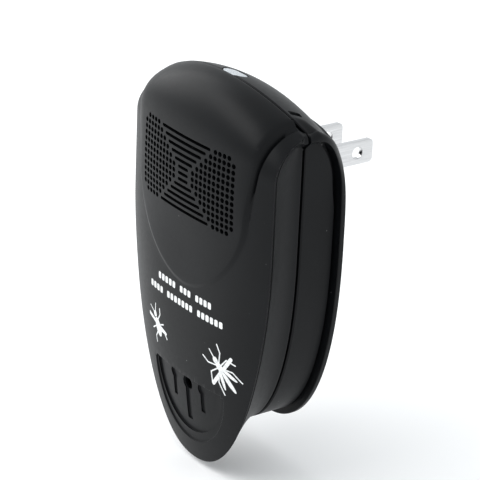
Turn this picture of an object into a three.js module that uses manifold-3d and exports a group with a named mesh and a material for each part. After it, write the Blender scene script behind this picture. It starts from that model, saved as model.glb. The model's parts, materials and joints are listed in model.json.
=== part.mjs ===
// Plug-in ultrasonic pest repeller: a two-piece black casing that hangs on its own flat mains blades,
// with a drilled loudspeaker grille in the raised dome of its front, and the sounder and its driver
// board inside. Millimetres. The origin is on the plug face, midway between the blades. +X is to the
// right seen from the front, +Y points into the wall outlet and +Z is up.

import * as THREE from "three";
import { mergeVertices } from "three/addons/utils/BufferGeometryUtils.js";
import Module from "manifold-3d";

const wasm = await Module();
wasm.setup();

// Driving dimensions.
const WALL = 2.2; // casing wall
const GAP = 0.3; // clearance between pieces that touch
const FAR = 60; // reach of a cutting prism beyond the casing
const BITE = 1; // how far joined solids run into each other
const MIDDLE_Z = -13; // height of the casing's widest section
const PLUG_BACK_Y = -7; // back of the flange, which the plug boss stands on
const SEAM_Y = -19.7; // joint between front cover and rear housing
const RIM_Y = -31; // edge of the front cover's face
const SEAM_HALF_GAP = 0.15;

const BLADE = { pitch: 12.7, thickness: 1.5, height: 6.35, length: 17, corner: 1.2 };
const BLADE_HOLE = { radius: 1.6, y: 12 };
const BLADE_X = BLADE.pitch / 2;
const BLADE_SHOULDER = { half: 5, thickness: 1.5 }; // stops the blade from being pulled out
const BLADE_TAIL = { half: 2, length: 5.8 }; // stands up inside the casing for the mains lead

// Outlines seen from the front. Each is a superellipse above and below MIDDLE_Z:
// half width, lower and upper height from MIDDLE_Z, and lower and upper power.
const RIM = { half: 30, down: 66, up: 43, lowPower: 2, highPower: 6 };
const WAIST = { half: 25.7, down: 55.5, up: 41, lowPower: 2.35, highPower: 8 };
const FLANGE = { half: 27.4, down: 57.6, up: 27.7, lowPower: 2.35, highPower: 3.8 };
const SHOULDER = { half: 27.6, down: 55.5, up: 43, lowPower: 2.35, highPower: 8 };
const SHOULDER_Z = 15.6; // the finger recess in the sides ends here
const RECESS_CORNER = { y: -17.5, z: 2 }; // the recess's rear edge curves from here down to the flange
const RECESS_END_Y = -21; // where the side wall has drawn in to the waist
const FLANGE_Y = -8.5; // front of the flange
const GROOVE_Y = -9.4; // front of the narrow groove before the flange
const GROOVE_DEPTH = 1.6;
const BACK_WALL_Y = -9.6; // inner face of the back wall

// The front skin: a gently bowed face, a roll over the top and a roof that falls to the back.
const FACE_Y = -35.4;
const FACE_BULGE = 4.4; // how far the face falls back from its middle to its rim
const FACE_POWER = 3;
const DOME_Y = -37.39;
const DOME_MIDDLE_Z = 1.5;
const DOME_BOW_X = 0.00468;
const DOME_BOW_Z = 0.00378;
const ROLL_Z = 11; // the face turns into the roll here
const ROLL_LENGTH = 15; // length given to the roll in the skin's own height coordinate
const ROOF_LENGTH = 22;
const ROOF_END_Y = -2; // the roof surface is carried on past the flange, to be cut off there
const ROOF_START_Y = -25.2;
const ROOF_BOW = 0.0047;
const ROOF_Z = 26.35;
const ROOF_SLOPE = 0.114;
const ROOF_CURVE = 0.0255;
const ROOF_CROWN = 0.0082;
const STEP = 1.6; // the shoulders lie this far below the dome and the roof band
const STEP_FADE_Y = [-20, -17]; // the step in the roof runs out over this stretch

// The raised dome of the face: parallel sides with a rounded foot.
const DOME = { half: 23.2, topHalf: 24.3, footZ: -3, footDrop: 24.2, footPower: 1.8 };
const BAND_HALF = 24.3; // half width of the roof band, which the dome meets

// Grille: a square grid of holes either side of an hourglass of slots.
const GRILLE = { pitch: 1.64, holeRadius: 0.5, slotHalfHeight: 0.47, columns: 10, rows: 13, firstX: 4.05 };
const GRILLE_MIDDLE_Z = 1.5;
const GRILLE_TOOL_Y = DOME_Y + 8; // the grille's cutting tools stop here, inside the hollow
const SLOT_END = 1.15; // distance from a slot's end to the nearest hole, in pitches

// Keyhole panel low on the front.
const PANEL = { half: 14.4, topZ: -54.5, drop: 15.5, depth: 0.8, scoopGrow: 2.4, scoopDepth: 0.55 };
const KEYHOLES = [
  { x: -6.2, z: -56.4, headRadius: 1.5, slotHalf: 0.75, length: 6.6 },
  { x: 0, z: -56.6, headRadius: 1.8, slotHalf: 0.95, length: 10.6 },
  { x: 6.2, z: -56.4, headRadius: 1.5, slotHalf: 0.75, length: 6.6 },
];
const KEYHOLE_DEPTH = 1.4;
const PANEL_WALL = 4.6; // thickness of the pad behind the panel
const PANEL_PAD_GROW = 1;
const PANEL_TOOL_Y = RIM_Y + 4; // the panel's cutting tools reach this far back
const PIERCED_TOOL_Y = RIM_Y + 6;

const LENS = { y: -22.5, halfLength: 3.8, halfWidth: 2.1 };
const LENS_FLANGE = { width: 0.9, thickness: 0.7, drop: 1.2 };
const LATCH = { x: 21.4, y: -19.8, width: 1.5, length: 3.6, depth: 1.4 };

// Plug boss on the back, which the blades stand out of.
const BOSS_HALF_X = 14;
const BOSS_Z = [-17, 7];
const BOSS_CORNER = 6;
const CLAMP = { halfX: 10.5, halfZ: 9.5, corner: 2, thickness: 2.3 };
const CLAMP_BACK_Y = BACK_WALL_Y - BLADE_SHOULDER.thickness - 2 * GAP;
const CLAMP_FRONT_Y = CLAMP_BACK_Y - CLAMP.thickness;

// The board stands across the casing, components towards the front.
const BOARD = { half: 17.5, top: 10, bottom: -46, y: -19, thickness: 1.6, corner: 2 };
const BOARD_BACK_Y = BOARD.y + BOARD.thickness;
const BOARD_SCREWS = [
  [-14, 6],
  [14, 6],
  [-13, -42],
  [13, -42],
];
const CASE_SCREWS = [
  [-11.5, -51],
  [11.5, -51],
];
const CLAMP_SCREWS = [
  [0, 4.8],
  [0, -4.8],
];
const CASE_SCREW = { headRadius: 2.75, headHeight: 1.9, shankRadius: 1.25, shankLength: 17 };
const BOARD_SCREW = { headRadius: 2.4, headHeight: 1.5, shankRadius: 0.95, shankLength: 7 };
const CLAMP_SCREW = { headRadius: 2.2, headHeight: 1.3, shankRadius: 0.95, shankLength: 9 };
const SCREW_CLEARANCE = 0.35; // on the radius
const POST_RADIUS = 3;
const POST_FOOT = { radius: 4.2, height: 2.4 }; // the thick foot that a case screw's head sinks into
const SCREW_SEAT_Y = BACK_WALL_Y - 0.4; // the case screws' heads bear on this
const PILOT_DEPTH = 9; // of a case screw's hole in the front cover's post
const CLAMP_HOLE_END_Y = -3;

const SIDES = { outline: 40, ring: 24, round: 16, small: 10, wire: 6, hole: 4, corner: 2 };

// Materials.
const plastic = (name, color, roughness) =>
  new THREE.MeshStandardMaterial({ name, color, roughness, metalness: 0 });
const metal = (name, color, roughness) =>
  new THREE.MeshStandardMaterial({ name, color, roughness, metalness: 1 });
const BLACK_CASING = plastic("casing_black", 0x2b2d2f, 0.42);
const CLEAR_LENS = plastic("lens_frosted", 0xdfe3e6, 0.25);
const NICKEL = metal("blade_nickel", 0xd6d8da, 0.22);
const STEEL = metal("screw_steel", 0xa9abad, 0.35);
const BOARD_GREEN = plastic("board_laminate", 0x2e6b3d, 0.5);
const PHENOLIC = plastic("insulator_board", 0x6b4a2c, 0.6);
const FOAM = plastic("gasket_foam", 0x1d1e1f, 0.95);
const BASKET_GREY = plastic("sounder_plastic", 0x3b3d40, 0.5);
const CONE_PAPER = plastic("sounder_cone", 0x8d8a80, 0.9);
const BRASS = metal("piezo_brass", 0xc9a24b, 0.35);
const FILM_YELLOW = plastic("film_capacitor_box", 0xd8b32a, 0.45);
const SLEEVE_BLUE = plastic("capacitor_sleeve", 0x24334f, 0.4);
const FERRITE = plastic("ferrite", 0x3d3d40, 0.7);
const COPPER = metal("coil_copper", 0xb56a3a, 0.3);
const EPOXY_BLACK = plastic("component_epoxy", 0x1a1a1c, 0.55);
const RESISTOR_TAN = plastic("resistor_body", 0xcdb58a, 0.5);
const FUSE_GREY = plastic("fusible_resistor_body", 0x8a8f94, 0.6);
const LED_GREEN = plastic("indicator_led", 0x4fbf5a, 0.2);
const WIRE_WHITE = plastic("wire_white", 0xe2e0d8, 0.5);
const WIRE_RED = plastic("wire_red", 0xa93226, 0.5);
const WIRE_BLACK = plastic("wire_black", 0x18191a, 0.5);

// ---- Solids ----

// A closed geometry as a manifold solid, turned face out if a reshaping left it inside out.
function solid(geometry) {
  const bare = geometry.clone();
  bare.deleteAttribute("normal");
  bare.deleteAttribute("uv");
  const merged = mergeVertices(bare, 1e-4);
  const vertProperties = new Float32Array(merged.attributes.position.array);
  const build = (triVerts) => new wasm.Manifold(new wasm.Mesh({ numProp: 3, vertProperties, triVerts }));
  const triVerts = new Uint32Array(merged.index.array);
  const made = build(triVerts);
  if (made.volume() > 0) return made;
  return build(triVerts.map((_, i) => triVerts[i + [0, 1, -1][i % 3]]));
}

function toGeometry(manifold) {
  const mesh = manifold.getMesh();
  const geometry = new THREE.BufferGeometry();
  geometry.setAttribute("position", new THREE.BufferAttribute(mesh.vertProperties, mesh.numProp));
  geometry.setIndex(new THREE.BufferAttribute(mesh.triVerts, 1));
  geometry.computeVertexNormals();
  return geometry;
}

const join = (solids) => solids.reduce((sum, next) => sum.add(next));
const cut = (body, tools) => tools.reduce((rest, tool) => rest.subtract(tool), body);

// Moves every vertex of a geometry to where place(point) puts it.
function reshape(geometry, place) {
  const position = geometry.attributes.position;
  const point = new THREE.Vector3();
  for (let i = 0; i < position.count; i++) {
    place(point.fromBufferAttribute(position, i));
    position.setXYZ(i, point.x, point.y, point.z);
  }
  return geometry;
}

// A flat shape drawn in X and Z, extruded from yLow to yHigh.
function prismY(shape, yLow, yHigh, curveSegments = SIDES.small) {
  const flat = new THREE.ExtrudeGeometry(shape, { depth: yHigh - yLow, bevelEnabled: false, curveSegments });
  return solid(reshape(flat, (p) => p.set(p.x, yLow + p.z, p.y)));
}

// A flat shape drawn in X and Y, extruded from zLow to zHigh.
function prismZ(shape, zLow, zHigh, curveSegments = SIDES.small) {
  const flat = new THREE.ExtrudeGeometry(shape, { depth: zHigh - zLow, bevelEnabled: false, curveSegments });
  return solid(flat.translate(0, 0, zLow));
}

// A flat shape drawn in Y and Z, extruded from xLow to xHigh.
function prismX(shape, xLow, xHigh, curveSegments = SIDES.small) {
  const flat = new THREE.ExtrudeGeometry(shape, { depth: xHigh - xLow, bevelEnabled: false, curveSegments });
  return solid(reshape(flat, (p) => p.set(xLow + p.z, p.x, p.y)));
}

function box(xRange, yRange, zRange) {
  const size = [xRange, yRange, zRange].map(([low, high]) => high - low);
  const middle = [xRange, yRange, zRange].map(([low, high]) => (low + high) / 2);
  return solid(new THREE.BoxGeometry(...size).translate(...middle));
}

function rodY(x, z, radius, yLow, yHigh, sides = SIDES.small) {
  const rod = new THREE.CylinderGeometry(radius, radius, yHigh - yLow, sides);
  return solid(rod.translate(x, (yLow + yHigh) / 2, z));
}

// A turned solid about a line along Y: profile points are [radius, y], from axis to axis or closed.
function turned(x, z, profile, sides = SIDES.round) {
  const points = profile.map(([radius, y]) => new THREE.Vector2(radius, y));
  return solid(new THREE.LatheGeometry(points, sides).translate(x, 0, z));
}

function roundedRectangle(halfX, zLow, zHigh, corner) {
  const shape = new THREE.Shape();
  const turn = Math.PI / 2;
  shape.absarc(halfX - corner, zHigh - corner, corner, 0, turn);
  shape.absarc(corner - halfX, zHigh - corner, corner, turn, 2 * turn);
  shape.absarc(corner - halfX, zLow + corner, corner, 2 * turn, 3 * turn);
  shape.absarc(halfX - corner, zLow + corner, corner, 3 * turn, 4 * turn);
  return shape;
}

// Two half circles joined by straight sides, long along the first axis.
function stadium(middleX, middleY, halfLength, halfWidth) {
  const shape = new THREE.Shape();
  const reach = halfLength - halfWidth;
  shape.absarc(middleX + reach, middleY, halfWidth, -Math.PI / 2, Math.PI / 2);
  shape.absarc(middleX - reach, middleY, halfWidth, Math.PI / 2, 1.5 * Math.PI);
  return shape;
}

// A tube of round section along a smooth curve through the points.
function tube(points, radius, steps) {
  const route = new THREE.CatmullRomCurve3(points.map((p) => new THREE.Vector3(...p)));
  const section = new THREE.Shape().absarc(0, 0, radius, 0, 2 * Math.PI);
  const options = { steps, extrudePath: route, bevelEnabled: false, curveSegments: SIDES.wire };
  return solid(new THREE.ExtrudeGeometry(section, options));
}

// ---- The casing's outer form ----

// The point of a superellipse outline in the direction of the unit vector (c, s).
function outlinePoint(outline, c, s) {
  const power = s < 0 ? outline.lowPower : outline.highPower;
  const reach = s < 0 ? outline.down : outline.up;
  const x = Math.sign(c) * outline.half * Math.abs(c) ** (2 / power);
  const z = MIDDLE_Z + Math.sign(s) * reach * Math.abs(s) ** (2 / power);
  return [x, z];
}

function blendOutlines(from, to, share) {
  const mixed = {};
  for (const key of Object.keys(from)) mixed[key] = THREE.MathUtils.lerp(from[key], to[key], share);
  return mixed;
}

const inset = (outline, by) => ({
  ...outline,
  half: outline.half - by,
  down: outline.down - by,
  up: outline.up - by,
});

// A solid lofted along Y, whose section at each depth is the outline that outlineAt(y) gives.
function loftY(yLow, yHigh, steps, outlineAt) {
  const disc = new THREE.Shape().absarc(0, 0, 1, 0, 2 * Math.PI);
  const options = { depth: yHigh - yLow, steps, bevelEnabled: false, curveSegments: SIDES.outline };
  const place = (p) => {
    const y = yLow + p.z;
    const length = Math.hypot(p.x, p.y);
    const [x, z] = outlinePoint(outlineAt(y), p.x / length, p.y / length);
    p.set(x, y, z);
  };
  return solid(reshape(new THREE.ExtrudeGeometry(disc, options), place));
}

// How far the side has drawn in from the rim to the waist at depth y, from 0 to 1.
function drawIn(y) {
  const share = THREE.MathUtils.clamp((y - RIM_Y) / (RECESS_END_Y - RIM_Y), 0, 1);
  return 1 - (1 - share) ** 1.7;
}

const sideOutline = (y) => blendOutlines(RIM, WAIST, drawIn(y));

function shoulderOutline(y) {
  const share = THREE.MathUtils.clamp((y - RIM_Y) / (SEAM_Y - RIM_Y), 0, 1);
  return blendOutlines(RIM, SHOULDER, share);
}

// The outer outline of the rear housing, from the shoulder back to the flange.
function rearOutline(y) {
  const share = THREE.MathUtils.clamp((y - STEP_FADE_Y[1]) / (FLANGE_Y - STEP_FADE_Y[1]), 0, 1);
  return blendOutlines(SHOULDER, FLANGE, share * share);
}

// The part of space outside the finger recess: above it, or behind the curve of its rear edge.
function aboveRecess() {
  const shape = new THREE.Shape();
  const { y, z } = RECESS_CORNER;
  shape.moveTo(-FAR, SHOULDER_Z);
  shape.lineTo(y, SHOULDER_Z);
  shape.absellipse(y, z, FLANGE_Y - y, SHOULDER_Z - z, Math.PI / 2, 0, true);
  shape.lineTo(FLANGE_Y, -2 * FAR);
  shape.lineTo(FAR, -2 * FAR);
  shape.lineTo(FAR, FAR);
  shape.lineTo(-FAR, FAR);
  return prismX(shape, -FAR, FAR);
}

const roofEdgeY = (x) => ROOF_START_Y + ROOF_BOW * x * x;

function roofZ(x, y) {
  const back = y - ROOF_START_Y;
  return ROOF_Z - ROOF_SLOPE * back - ROOF_CURVE * back * back - ROOF_CROWN * x * x;
}

// How far the shoulder level lies below the roof at depth y.
function roofStep(y) {
  return STEP * (1 - THREE.MathUtils.smoothstep(y, ...STEP_FADE_Y));
}

function faceY(x, z) {
  const below = Math.min(z - MIDDLE_Z, 0) / RIM.down;
  return FACE_Y + FACE_BULGE * Math.hypot(x / RIM.half, below) ** FACE_POWER;
}

const domeY = (x, z) => DOME_Y + DOME_BOW_X * x * x + DOME_BOW_Z * (z - DOME_MIDDLE_Z) ** 2;

// A point of the outer skin at side distance x and skin height v, moved inwards by depth.
// Up to ROLL_Z v is the height, then it runs over the roll, then back along the roof.
function skinPoint(x, v, isDome, depth) {
  const frontY = isDome ? domeY : faceY;
  const fall = (y) => (isDome ? 0 : roofStep(y)) + depth;
  if (v <= ROLL_Z) return new THREE.Vector3(x, frontY(x, v) + depth, v);
  const edgeY = roofEdgeY(x);
  const along = v - ROLL_Z - ROLL_LENGTH;
  if (along >= 0) {
    const y = THREE.MathUtils.lerp(edgeY, ROOF_END_Y, along / ROOF_LENGTH);
    return new THREE.Vector3(x, y, roofZ(x, y) - fall(y));
  }
  const angle = ((v - ROLL_Z) / ROLL_LENGTH) * (Math.PI / 2);
  const startY = frontY(x, ROLL_Z) + depth;
  const topZ = roofZ(x, edgeY) - fall(edgeY);
  const y = edgeY + (startY - edgeY) * Math.cos(angle);
  return new THREE.Vector3(x, y, ROLL_Z + (topZ - ROLL_Z) * Math.sin(angle));
}

const BLOCK = { half: 32, bottom: -84 }; // the skin is carried on past the casing's outline to here
const OUTER_GRID = { columns: 18, rows: 27 };
const INNER_GRID = { columns: 10, rows: 18 };

// Everything behind the skin, as far as the plug face. The rows are closer together over the roll
// and the roof, which are more curved than the face: each stretch gets a third of them.
function skinBlock(isDome, depth = 0, { columns, rows } = OUTER_GRID) {
  const rollEnd = ROLL_Z + ROLL_LENGTH;
  const roofEnd = rollEnd + ROOF_LENGTH;
  const stretches = [BLOCK.bottom, ROLL_Z, rollEnd, roofEnd];
  const grid = new THREE.BoxGeometry(2 * BLOCK.half, 3, 1, columns, rows, 1);
  const place = (p) => {
    const share = p.y + 1.5;
    const i = Math.min(Math.floor(share + 1e-6), 2);
    const v = THREE.MathUtils.lerp(stretches[i], stretches[i + 1], share - i);
    const skin = skinPoint(p.x, v, isDome, depth);
    if (p.z > 0) return p.copy(skin);
    const endZ = roofZ(p.x, ROOF_END_Y) - depth;
    const lowerEnd = Math.min(endZ, 0);
    const backZ = v <= lowerEnd ? v : THREE.MathUtils.mapLinear(v, lowerEnd, roofEnd, lowerEnd, endZ - BITE);
    return p.set(p.x, 0, backZ);
  };
  return solid(reshape(grid, place));
}

// The dome's outline: straight sides down to its foot, then a superellipse.
function domePrism(grow) {
  const half = DOME.half + grow;
  const drop = DOME.footDrop + grow;
  const shape = new THREE.Shape();
  shape.moveTo(DOME.topHalf + grow, FAR);
  shape.lineTo(-DOME.topHalf - grow, FAR);
  shape.lineTo(-DOME.topHalf - grow, ROLL_Z);
  const steps = 28;
  for (let i = 0; i <= steps; i++) {
    const angle = Math.PI * (1 + i / steps);
    const x = Math.sign(Math.cos(angle)) * half * Math.abs(Math.cos(angle)) ** (2 / DOME.footPower);
    const z = DOME.footZ - drop * Math.abs(Math.sin(angle)) ** (2 / DOME.footPower);
    shape.lineTo(x, z);
  }
  shape.lineTo(DOME.topHalf + grow, ROLL_Z);
  return prismY(shape, -FAR, 0);
}

// The plan of the roof band, whose front edge bows like the roof's, as a tall prism.
function bandPrism(half, edgeOffset, zLow) {
  const corner = roofEdgeY(half) + edgeOffset;
  const bow = ROOF_START_Y + edgeOffset - ROOF_BOW * half * half;
  const shape = new THREE.Shape();
  shape.moveTo(-half, 0);
  shape.lineTo(-half, corner);
  shape.quadraticCurveTo(0, bow, half, corner);
  shape.lineTo(half, 0);
  return prismZ(shape, zLow, FAR);
}

const faceBlock = skinBlock(false);
const domeBlock = skinBlock(true);

// The space inside both halves of the casing, which the wall stands round.
function cavity(yLow) {
  const inner = loftY(yLow, BACK_WALL_Y, 1, () => inset(WAIST, WALL));
  const low = skinBlock(false, WALL, INNER_GRID).intersect(inner);
  const high = skinBlock(true, WALL, INNER_GRID).intersect(domePrism(-WALL)).intersect(inner);
  return low.add(high);
}

const innerSpace = cavity(-FAR);

const sideRing = (yLow, yHigh, outline) => loftY(yLow, yHigh, 1, () => outline);

// ---- Front cover ----

function grilleTools() {
  const tools = [];
  const half = (GRILLE.rows - 1) / 2;
  for (let row = 0; row < GRILLE.rows; row++) {
    const fromMiddle = Math.abs(row - half);
    const z = GRILLE_MIDDLE_Z + (half - row) * GRILLE.pitch;
    // The three middle rows have every column, and each row further out is a hole shorter.
    const last = Math.min(GRILLE.columns - 1, GRILLE.columns - fromMiddle);
    const first = fromMiddle === half ? 1 : 0;
    const columnX = (column) => GRILLE.firstX + (GRILLE.columns - 1 - column) * GRILLE.pitch;
    for (let column = first; column <= last; column++) {
      for (const x of [-columnX(column), columnX(column)]) {
        tools.push(rodY(x, z, GRILLE.holeRadius, -FAR, GRILLE_TOOL_Y, SIDES.hole));
      }
    }
    const slotHalf = columnX(last) - SLOT_END * GRILLE.pitch;
    tools.push(prismY(stadium(0, z, slotHalf, GRILLE.slotHalfHeight), -FAR, GRILLE_TOOL_Y, SIDES.corner));
  }
  return tools;
}

// The panel's outline: a straight top over a half ellipse, grown outwards by grow.
function panelShape(grow) {
  const shape = new THREE.Shape();
  shape.absellipse(0, PANEL.topZ, PANEL.half + grow, PANEL.drop + grow, Math.PI, 2 * Math.PI);
  shape.closePath();
  return shape;
}

function keyholeTool({ x, z, headRadius, slotHalf, length }) {
  const head = rodY(x, z, headRadius, -FAR, PANEL_TOOL_Y);
  const slot = box([x - slotHalf, x + slotHalf], [-FAR, PANEL_TOOL_Y], [z - length, z]);
  return head.add(slot);
}

function panelTools() {
  const under = (depth) => skinBlock(false, depth);
  const recess = prismY(panelShape(0), -FAR, PANEL_TOOL_Y, SIDES.round).subtract(under(PANEL.depth));
  const scoopShape = panelShape(PANEL.scoopGrow);
  const belowTop = box([-FAR, FAR], [-FAR, FAR], [-FAR * 2, PANEL.topZ - PANEL.drop / 2]);
  const scoop = prismY(scoopShape, -FAR, PANEL_TOOL_Y, SIDES.round).intersect(belowTop);
  const keyholes = join(KEYHOLES.map(keyholeTool)).subtract(under(KEYHOLE_DEPTH));
  const pierced = rodY(KEYHOLES[1].x, KEYHOLES[1].z, KEYHOLES[1].headRadius, -FAR, PIERCED_TOOL_Y);
  return [recess, scoop.subtract(under(PANEL.scoopDepth)), keyholes, pierced];
}

const screwHole = ([x, z], radius, yLow, yHigh) => rodY(x, z, radius + SCREW_CLEARANCE, yLow, yHigh);

function frontCover() {
  const lip = sideRing(-FAR, RIM_Y, RIM);
  const sides = loftY(RIM_Y, SEAM_Y - SEAM_HALF_GAP, 7, sideOutline);
  const shoulders = loftY(RIM_Y, SEAM_Y - SEAM_HALF_GAP, 4, shoulderOutline);
  const low = faceBlock.intersect(join([lip, sides, shoulders.intersect(aboveRecess())]));
  const high = domeBlock.intersect(domePrism(0)).intersect(box([-FAR, FAR], [-FAR, SEAM_Y], [-FAR, FAR]));
  const skin = low.add(high).subtract(bandPrism(BAND_HALF + SEAM_HALF_GAP, -SEAM_HALF_GAP, ROLL_Z));
  const panelPad = prismY(panelShape(PANEL_PAD_GROW), -FAR, FACE_Y + PANEL_WALL, SIDES.round);
  const screwPosts = join(CASE_SCREWS.map(([x, z]) => rodY(x, z, POST_RADIUS, -FAR, SEAM_Y - GAP)));
  const hollow = innerSpace.subtract(panelPad).subtract(screwPosts);
  const pilots = CASE_SCREWS.map((at) => screwHole(at, CASE_SCREW.shankRadius, SEAM_Y - PILOT_DEPTH, 0));
  const shell = skin.subtract(hollow);
  return cut(shell, [...pilots, join(grilleTools()), ...panelTools()]);
}

// ---- Rear housing ----

function bladeSlots() {
  const halfX = BLADE.thickness / 2 + GAP;
  const halfZ = BLADE.height / 2 + GAP;
  const front = BACK_WALL_Y - BITE;
  return [-BLADE_X, BLADE_X].map((x) => box([x - halfX, x + halfX], [front, FAR], [-halfZ, halfZ]));
}

function postSolids() {
  const post = ([x, z], radius, frontY) => rodY(x, z, radius, frontY, BACK_WALL_Y + GAP);
  return [
    ...BOARD_SCREWS.map((at) => post(at, POST_RADIUS, BOARD_BACK_Y + GAP)),
    ...CASE_SCREWS.map((at) => post(at, POST_RADIUS, SEAM_Y + GAP)),
    ...CASE_SCREWS.map((at) => post(at, POST_FOOT.radius, BACK_WALL_Y - POST_FOOT.height)),
  ];
}

function screwHoles() {
  return [
    ...BOARD_SCREWS.map((at) => screwHole(at, BOARD_SCREW.shankRadius, -FAR, BACK_WALL_Y)),
    ...CASE_SCREWS.map((at) => screwHole(at, CASE_SCREW.shankRadius, -FAR, FAR)),
    ...CASE_SCREWS.map((at) => screwHole(at, CASE_SCREW.headRadius, SCREW_SEAT_Y, FAR)),
    ...CLAMP_SCREWS.map((at) => screwHole(at, CLAMP_SCREW.shankRadius, -FAR, CLAMP_HOLE_END_Y)),
  ];
}

function rearHousing() {
  const frontEnd = SEAM_Y + SEAM_HALF_GAP;
  const waist = sideRing(frontEnd, GROOVE_Y, WAIST);
  const neck = sideRing(GROOVE_Y - BITE, FLANGE_Y + BITE, inset(WAIST, GROOVE_DEPTH));
  const outer = loftY(frontEnd, PLUG_BACK_Y, 8, rearOutline);
  const sides = outer.intersect(aboveRecess().add(waist).add(neck));
  const body = faceBlock.intersect(sides);
  const beforeFlange = box([-FAR, FAR], [-FAR, PLUG_BACK_Y], [-FAR, FAR]);
  const bandPlan = bandPrism(BAND_HALF - SEAM_HALF_GAP, SEAM_HALF_GAP, ROLL_Z);
  const band = domeBlock.intersect(bandPlan).intersect(beforeFlange);
  const hollow = innerSpace.subtract(join(postSolids()));
  const shell = body.add(band).subtract(hollow);
  const plugBoss = prismY(roundedRectangle(BOSS_HALF_X, ...BOSS_Z, BOSS_CORNER), BACK_WALL_Y, 0, 4);
  const lensHole = prismZ(stadium(0, LENS.y, LENS.halfLength + GAP, LENS.halfWidth + GAP), 0, FAR);
  const latches = [-LATCH.x, LATCH.x].map((x) => {
    const floorZ = roofZ(LATCH.x, LATCH.y) - LATCH.depth;
    const halves = [LATCH.width / 2, LATCH.length / 2];
    return box([x - halves[0], x + halves[0]], [LATCH.y - halves[1], LATCH.y + halves[1]], [floorZ, FAR]);
  });
  return cut(shell.add(plugBoss), [...bladeSlots(), ...screwHoles(), lensHole, ...latches]);
}

// ---- Plug ----

function blade(x) {
  const nose = new THREE.Shape();
  const half = BLADE.height / 2;
  const { length, corner } = BLADE;
  nose.moveTo(-half, BACK_WALL_Y - BITE);
  nose.lineTo(half, BACK_WALL_Y - BITE);
  nose.lineTo(half, length - corner);
  nose.quadraticCurveTo(half, length, half - corner, length);
  nose.lineTo(corner - half, length);
  nose.quadraticCurveTo(-half, length, -half, length - corner);
  const hole = new THREE.Path().absarc(0, BLADE_HOLE.y, BLADE_HOLE.radius, 0, 2 * Math.PI, true);
  nose.holes.push(hole);
  const options = { depth: BLADE.thickness, bevelEnabled: false, curveSegments: SIDES.small };
  const flat = new THREE.ExtrudeGeometry(nose, options);
  const pin = solid(reshape(flat, (p) => p.set(x + p.z - BLADE.thickness / 2, p.y, p.x)));
  const side = [x - BLADE.thickness / 2, x + BLADE.thickness / 2];
  const shoulderY = [BACK_WALL_Y - GAP - BLADE_SHOULDER.thickness, BACK_WALL_Y - GAP];
  const shoulder = box(side, shoulderY, [-BLADE_SHOULDER.half, BLADE_SHOULDER.half]);
  const tailY = [BACK_WALL_Y - BLADE_TAIL.length, BACK_WALL_Y];
  const tail = box(side, tailY, [-BLADE_TAIL.half, BLADE_TAIL.half]);
  return join([pin, shoulder, tail]);
}

function bladeClamp() {
  const outline = roundedRectangle(CLAMP.halfX, -CLAMP.halfZ, CLAMP.halfZ, CLAMP.corner);
  const plate = prismY(outline, CLAMP_FRONT_Y, CLAMP_BACK_Y, SIDES.corner);
  const halfX = BLADE.thickness / 2 + GAP;
  const halfZ = BLADE_TAIL.half + GAP;
  const slots = [-BLADE_X, BLADE_X].map((x) => box([x - halfX, x + halfX], [-FAR, FAR], [-halfZ, halfZ]));
  const holes = CLAMP_SCREWS.map((at) => screwHole(at, CLAMP_SCREW.shankRadius, -FAR, FAR));
  return cut(plate, [...slots, ...holes]);
}

// ---- Screws, all driven along Y ----

const ascending = (a, b) => (a < b ? [a, b] : [b, a]);

// The pan head's shape, as shares of its radius and height.
const HEAD = { crown: 0.55, rim: 0.45, recessDepth: 0.45, recessLong: 0.5, recessThin: 0.14 };

// A pan-head screw with a cross recess: its head bears at headY, and its shank points along direction.
function screw([x, z], headY, direction, { headRadius, headHeight, shankRadius, shankLength }) {
  const tip = headY + direction * shankLength;
  const crown = headY - direction * headHeight;
  const profile = [
    [0, crown],
    [headRadius * HEAD.crown, crown],
    [headRadius, headY - direction * headHeight * HEAD.rim],
    [headRadius, headY],
    [shankRadius, headY],
    [shankRadius, tip - direction * shankRadius],
    [0, tip],
  ];
  const body = turned(x, z, profile, SIDES.small);
  const recessY = ascending(crown - direction * BITE, crown + direction * headHeight * HEAD.recessDepth);
  const long = headRadius * HEAD.recessLong;
  const thin = headRadius * HEAD.recessThin;
  const across = box([x - long, x + long], recessY, [z - thin, z + thin]);
  const upright = box([x - thin, x + thin], recessY, [z - long, z + long]);
  return body.subtract(across.add(upright));
}

// ---- Sounder ----

const SOUNDER = { z: GRILLE_MIDDLE_Z, radius: 16.2, frontY: -32.6 };
const GASKET = { width: 1.8, thickness: 0.9 };
const BASKET = { depth: 8, wall: 1.2, lip: 1.4, shoulder: 2.2, backRadius: 8.6 };
const VENT = { halfX: 1.6, halfZ: 4.6, depth: 3 };
const CONE = { radius: 13, capRadius: 3.5, rise: 3.8, thickness: 0.7, behindFront: 1.6 };
const PIEZO = { radius: 6, thickness: 0.6 };
const BASKET_Y = SOUNDER.frontY + GASKET.thickness + GAP;
const CONE_Y = SOUNDER.frontY + CONE.behindFront;

function gasket() {
  const { radius, frontY } = SOUNDER;
  const inner = radius - GASKET.width;
  const backY = frontY + GASKET.thickness;
  const ring = [[inner, frontY], [radius, frontY], [radius, backY], [inner, backY], [inner, frontY]];
  return turned(0, SOUNDER.z, ring, SIDES.ring);
}

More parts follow.
